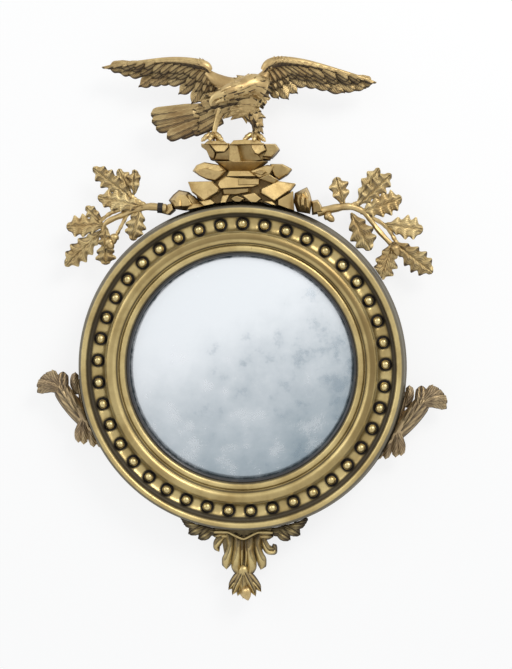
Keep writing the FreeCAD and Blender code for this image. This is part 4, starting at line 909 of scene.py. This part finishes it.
SCROLL_LOBES = (
    (((10, -32, 4), (-6, -14, 10), (-22, 6, 15), (-34, 24, 17), (-46, 42, 17), (-54, 54, 12)),
     [26, 30, 32, 34, 32, 26], 3, 9.0, 6.0),
    (((-46, 42, 12), (-66, 48, 18), (-82, 46, 13), (-96, 38, 4)), [14, 18, 20, 14], 1, 4.0, 5.0),
    (((-46, 44, 13), (-66, 54, 20), (-82, 55, 15), (-96, 50, 6)), [14, 18, 19, 14], 1, 4.0, 5.0),
    (((-46, 46, 14), (-62, 58, 20), (-76, 63, 16), (-88, 64, 8)), [13, 17, 18, 14], 1, 4.0, 5.0),
    (((-46, 48, 13), (-58, 61, 18), (-68, 69, 15), (-77, 74, 8)), [12, 16, 17, 13], 1, 4.0, 5.0),
    (((-47, 50, 11), (-55, 62, 15), (-61, 71, 12), (-65, 80, 6)), [10, 13, 14, 11], 1, 4.0, 5.0),
    (((-36, 26, 12), (-42, 46, 18), (-43, 62, 16), (-42, 77, 8)), [20, 24, 25, 21], 3, 7.0, 5.0),
    (((-12, 34, 2), (-18, 48, 7), (-20, 60, 7), (-18, 75, 0)), [13, 17, 18, 14], 1, 4.0, 4.0),
    (((-10, 50, 6), (-5, 26, 8), (1, 8, 8), (8, -16, 6), (14, -34, 4)), [9, 8, 9, 12, 14], 1, 4.0, 5.0),
    (((0, -14, 9), (-6, -34, 13), (-11, -50, 12), (-12, -64, 5)), [14, 17, 18, 13], 1, 4.0, 5.0),
    (((4, -16, 8), (0, -36, 12), (-1, -52, 11), (-1, -68, 5)), [14, 17, 18, 13], 1, 4.0, 5.0),
    (((12, -28, 4), (13, -46, 7), (16, -60, 6), (19, -75, 0)), [15, 17, 17, 13], 1, 4.0, 4.0),
    (((22, -42, 2), (26, -56, 4), (31, -66, 3), (35, -77, 0)), [13, 15, 15, 11], 1, 4.0, 4.0),
)
scroll_gilding = carver_gilding("scroll_gilding", rgb(196, 174, 134), rgb(156, 134, 104), rgb(40, 30, 28),
                                vein=5.0, red=0.6, gloss=0.36)
for label, side in (("side_scroll_left", -1), ("side_scroll_right", 1)):
    scroll_bm = carving()
    for spine, widths, *form in SCROLL_LOBES:
        acanthus(scroll_bm, track(scroll, *spine), widths, *form)
    limb(scroll_bm, track(scroll, (30, -60, -6), (6, -30, -6), (-18, 2, -6), (-36, 26, -6), (-50, 46, -6)),
         [10, 15, 17, 14, 9], flatten=1.1, steps=30)
    limb(scroll_bm, track(scroll, (-12, 60, -10), (-6, 34, -10), (0, 6, -10), (10, -30, -10), (26, -62, -10)),
         [7, 9, 10, 10, 7], steps=30)
    if side > 0:
        bmesh.ops.scale(scroll_bm, vec=(-1, 1, 1), verts=scroll_bm.verts)
        bmesh.ops.rotate(scroll_bm, cent=(0, 0, 0), matrix=Matrix.Rotation(radians(4), 3, "Y"),
                         verts=scroll_bm.verts)
    scribe(scroll_bm)
    piece(label.replace("side_", "acanthus_"), scroll_bm, scroll_gilding, [label])

# ---------------- apron
# Below the ring hangs an acanthus apron: rolled reeds that part at the top and round off at their
# feet, a fan of pointed leaves under them and a bud at its end, with a small leaf spray each side.
APRON_DEPTH = 34.0


def apron(x, down, out=0.0):
    """Point of the apron, measured from the lowest point of the ring."""
    return Vector((x, -APRON_DEPTH - out, -FRAME_RADIUS - down))


REEDS = (
    (((-34, -2, 6), (-25, 12, 15), (-23, 28, 17), (-27, 46, 17), (-31, 60, 14), (-31, 72, 8)),
     [14, 15, 14, 15, 19, 17]),
    (((-14, 4, 8), (-8, 18, 18), (-8, 36, 19), (-11, 56, 18), (-11, 68, 15), (-5, 84, 8)),
     [16, 17, 17, 18, 20, 16]),
    (((0, 8, 8), (1, 20, 17), (1, 42, 18), (0, 64, 12)), [8, 9, 9, 7]),
    (((9, 8, 8), (9, 20, 17), (10, 42, 18), (8, 64, 12)), [8, 9, 9, 7]),
    (((22, 4, 8), (17, 18, 18), (16, 36, 19), (20, 56, 18), (20, 68, 15), (13, 84, 8)),
     [16, 17, 17, 18, 20, 16]),
    (((42, -2, 6), (34, 12, 15), (32, 28, 17), (37, 46, 17), (41, 60, 14), (39, 72, 8)),
     [14, 15, 14, 15, 19, 17]),
    (((-34, 4, 8), (-44, 14, 15), (-51, 26, 14), (-46, 36, 8)), [10, 13, 14, 12]),
    (((42, 0, 8), (46, 20, 15), (54, 34, 15), (66, 35, 11), (64, 26, 6)), [10, 12, 13, 12, 10]),
    (((-22, 4, 8), (-40, 3, 13), (-58, 5, 5)), [14, 17, 12]),
    (((28, 4, 8), (46, 4, 13), (64, 5, 5)), [14, 18, 12]),
)
apron_gilding = carver_gilding("apron_gilding", rgb(202, 182, 128), rgb(152, 130, 88), rgb(52, 40, 30),
                               red=0.35, ground=0.047)
reeds_bm = carving()
for spine, widths in REEDS:
    acanthus(reeds_bm, track(apron, *spine), widths, camber=6.0, thick=7.0, grid=(30, 14))
limb(reeds_bm,
     track(apron, (-56, 3, 8), (-40, 1, 15), (-26, 1, 19), (-12, 8, 21), (4, 14, 21), (18, 8, 21),
           (32, 1, 19), (46, 1, 15), (62, 3, 8)),
     [3, 3.4, 3, 2.6, 2.6, 2.6, 3, 3.4, 3], sides=10, steps=40)
core_outline = [(-54, -10), (-40, 22), (-34, 58), (-12, 72), (16, 72), (38, 58), (46, 22), (60, -10)]
corners = [reeds_bm.verts.new(apron(x, down, -APRON_DEPTH)) for x, down in core_outline]
plate = reeds_bm.faces.new(corners)
grown = bmesh.ops.extrude_face_region(reeds_bm, geom=[plate])
bmesh.ops.translate(reeds_bm, vec=(0, -APRON_DEPTH - 8, 0),
                    verts=[item for item in grown["geom"] if isinstance(item, bmesh.types.BMVert)])
scribe(reeds_bm)
piece("apron_reeds", reeds_bm, apron_gilding, ["apron_acanthus"])

frond_bm = carving()
FROND = ((-131, 47), (-117, 51), (-104, 50), (-91, 53), (-78, 51), (-62, 54), (-47, 53))
for index, (angle, reach) in enumerate(FROND):
    way = bearing(angle) * reach
    root = apron(4, 78, 12 + 3 * (index % 2))
    feather(frond_bm, root, root + way + Vector((0, 0, -2)), 17, thick=6.0, blunt=0.7, camber=5.0,
            point=0.04, grid=(26, 8))
limb(frond_bm, track(apron, (3, 66, -4), (3, 78, 3), (3, 88, 5), (4, 98, 2)), [3, 12, 11, 5],
     sides=18, steps=18)
piece("apron_fan", frond_bm, apron_gilding, ["apron_frond"])

bud_bm = carving()
limb(bud_bm, track(apron, (6, 116, 10), (8, 122, 12), (10, 131, 12), (13, 142.6, 8)),
     [7, 11, 10, 0.8], sides=24, steps=20, ripple=lambda u, v: 1.1 * cos(v * tau * 5))
piece("bud", bud_bm, plain_gilding, ["apron_bud"])

SPRIGS = (((-44, -4, 4), (-62, -4, 8), (-84, -10, 4)), ((-60, -6, 6), (-74, 4, 10), (-88, 13, 4)),
          ((-76, -12, 6), (-92, -6, 10), (-108, 3, 4)), ((-82, -14, 6), (-100, -18, 10), (-117, -16, 4)),
          ((-96, -20, 4), (-110, -24, 8), (-123, -26, 2)))
for label, side in (("apron_leaf_left", -1), ("apron_leaf_right", 1)):
    sprig_bm = carving()
    for spine in SPRIGS:
        acanthus(sprig_bm, track(apron, *spine), [14, 22, 18], 3, 5.0, 5.0, 1.5, grid=(20, 14))
    if side > 0:
        bmesh.ops.scale(sprig_bm, vec=(-1, 1, 1), verts=sprig_bm.verts)
        bmesh.ops.translate(sprig_bm, vec=(10, 0, 0), verts=sprig_bm.verts)
    scribe(sprig_bm)
    piece(label.replace("leaf", "sprig"), sprig_bm, apron_gilding, [label])

# ---------------- wall, floor, lights and camera
# A pale wall right behind the mirror takes its soft shadow, and a pale floor lies well below.
# The key light stands to the upper right of the camera, a broad fill to the left. The middles are
# in the picture's pixels, PX is the size of one in metres where the camera is aimed.
PHOTO_HEIGHT = 669
PHOTO_MIDDLE = (256.0, 334.5)
RING_MIDDLE = (240.4, 368.9)
PX = 0.002
AIM_DEPTH = 0.08
SENSOR = 36.0
CAMERA_AWAY = 3.2
CAMERA_TURN = radians(3.0)
CAMERA_RISE = radians(3.0)


def shown_rays(wash):
    """1 for rays that show the background: from the camera, off metal and through glass."""
    camera_ray, glossy, through = (wash.node("LightPath", {}, {}, name) for name in (
        "Is Camera Ray", "Is Glossy Ray", "Is Transmission Ray"))
    return wash.maths("MAXIMUM", camera_ray, wash.maths("MAXIMUM", glossy, through))


backdrop, wash = new_finish("pale_wall")
behind = wash.node("NewGeometry", {}, {}, "Backfacing")
plain = wash.node("BsdfDiffuse", {}, {"Color": (0.9, 0.9, 0.9, 1)})
lit = wash.node("Emission", {}, {"Color": (1, 1, 1, 1), "Strength": 1.0})
white = wash.node("MixShader", {}, {0: 0.8, 1: plain, 2: lit})
surface = wash.node("MixShader", {}, {0: shown_rays(wash), 1: plain, 2: white})
gone = wash.node("BsdfTransparent", {}, {})
wash.node_output(wash.node("MixShader", {}, {0: behind, 1: surface, 2: gone}))


def stage_plane(name, corners):
    """One-sided plane of the stage, which casts no light or shadow on the mirror."""
    bm = bmesh.new()
    bm.faces.new([bm.verts.new(corner) for corner in corners])
    mesh = bpy.data.meshes.new(name)
    bm.to_mesh(mesh)
    bm.free()
    made = bpy.data.objects.new(name, mesh)
    bpy.context.scene.collection.objects.link(made)
    made.data.materials.append(backdrop)
    made.visible_diffuse = made.visible_shadow = False


stage_plane("wall", [(-6, 0.003, -0.9), (6, 0.003, -0.9), (6, 0.003, 5), (-6, 0.003, 5)])
stage_plane("floor", [(-6, -6, -0.9), (6, -6, -0.9), (6, 0.003, -0.9), (-6, 0.003, -0.9)])


def lamp(name, place, target, width, height, watts, colour):
    """Soft box at a place, turned to a target."""
    data = bpy.data.lights.new(name, "AREA")
    data.shape = "RECTANGLE"
    data.size, data.size_y, data.energy, data.color = width, height, watts, colour
    made = bpy.data.objects.new(name, data)
    made.location = place
    made.rotation_euler = (Vector(target) - Vector(place)).to_track_quat("-Z", "Y").to_euler()
    bpy.context.scene.collection.objects.link(made)


lamp("key", (1.5, -2.2, 2.0), (0, 0, 0.05), 1.4, 1.1, 44, (1.0, 0.97, 0.93))
lamp("fill", (-2.6, -1.5, 1.3), (0, 0, 0), 1.6, 2.0, 18, (0.95, 0.97, 1.0))

world = bpy.data.worlds.new("studio")
bpy.context.scene.world = world
world.use_nodes = True
world.node_tree.nodes.clear()
wash = Wash(world.node_tree)
around = wash.node("Background", {}, {"Color": (0.9, 0.93, 0.96, 1), "Strength": 0.7})
sheer = wash.node("Background", {}, {"Color": (1, 1, 1, 1), "Strength": 1.0})
mixed = wash.node("MixShader", {}, {0: shown_rays(wash), 1: around, 2: sheer})
output = world.node_tree.nodes.new("ShaderNodeOutputWorld")
world.node_tree.links.new(mixed.socket, output.inputs["Surface"])

lens = bpy.data.cameras.new("camera")
lens.sensor_fit = "VERTICAL"
lens.sensor_height = SENSOR
lens.lens = SENSOR * (CAMERA_AWAY / PX) / PHOTO_HEIGHT
camera = bpy.data.objects.new("camera", lens)
aim = Vector(((PHOTO_MIDDLE[0] - RING_MIDDLE[0]) * PX, -AIM_DEPTH, (RING_MIDDLE[1] - PHOTO_MIDDLE[1]) * PX))
back = Vector((sin(CAMERA_TURN) * cos(CAMERA_RISE), -cos(CAMERA_TURN) * cos(CAMERA_RISE),
               sin(CAMERA_RISE)))
camera.location = aim + back * CAMERA_AWAY
camera.rotation_euler = (-back).to_track_quat("-Z", "Y").to_euler()
bpy.context.scene.collection.objects.link(camera)
bpy.context.scene.camera = camera
bpy.context.scene.view_settings.view_transform = "Standard"
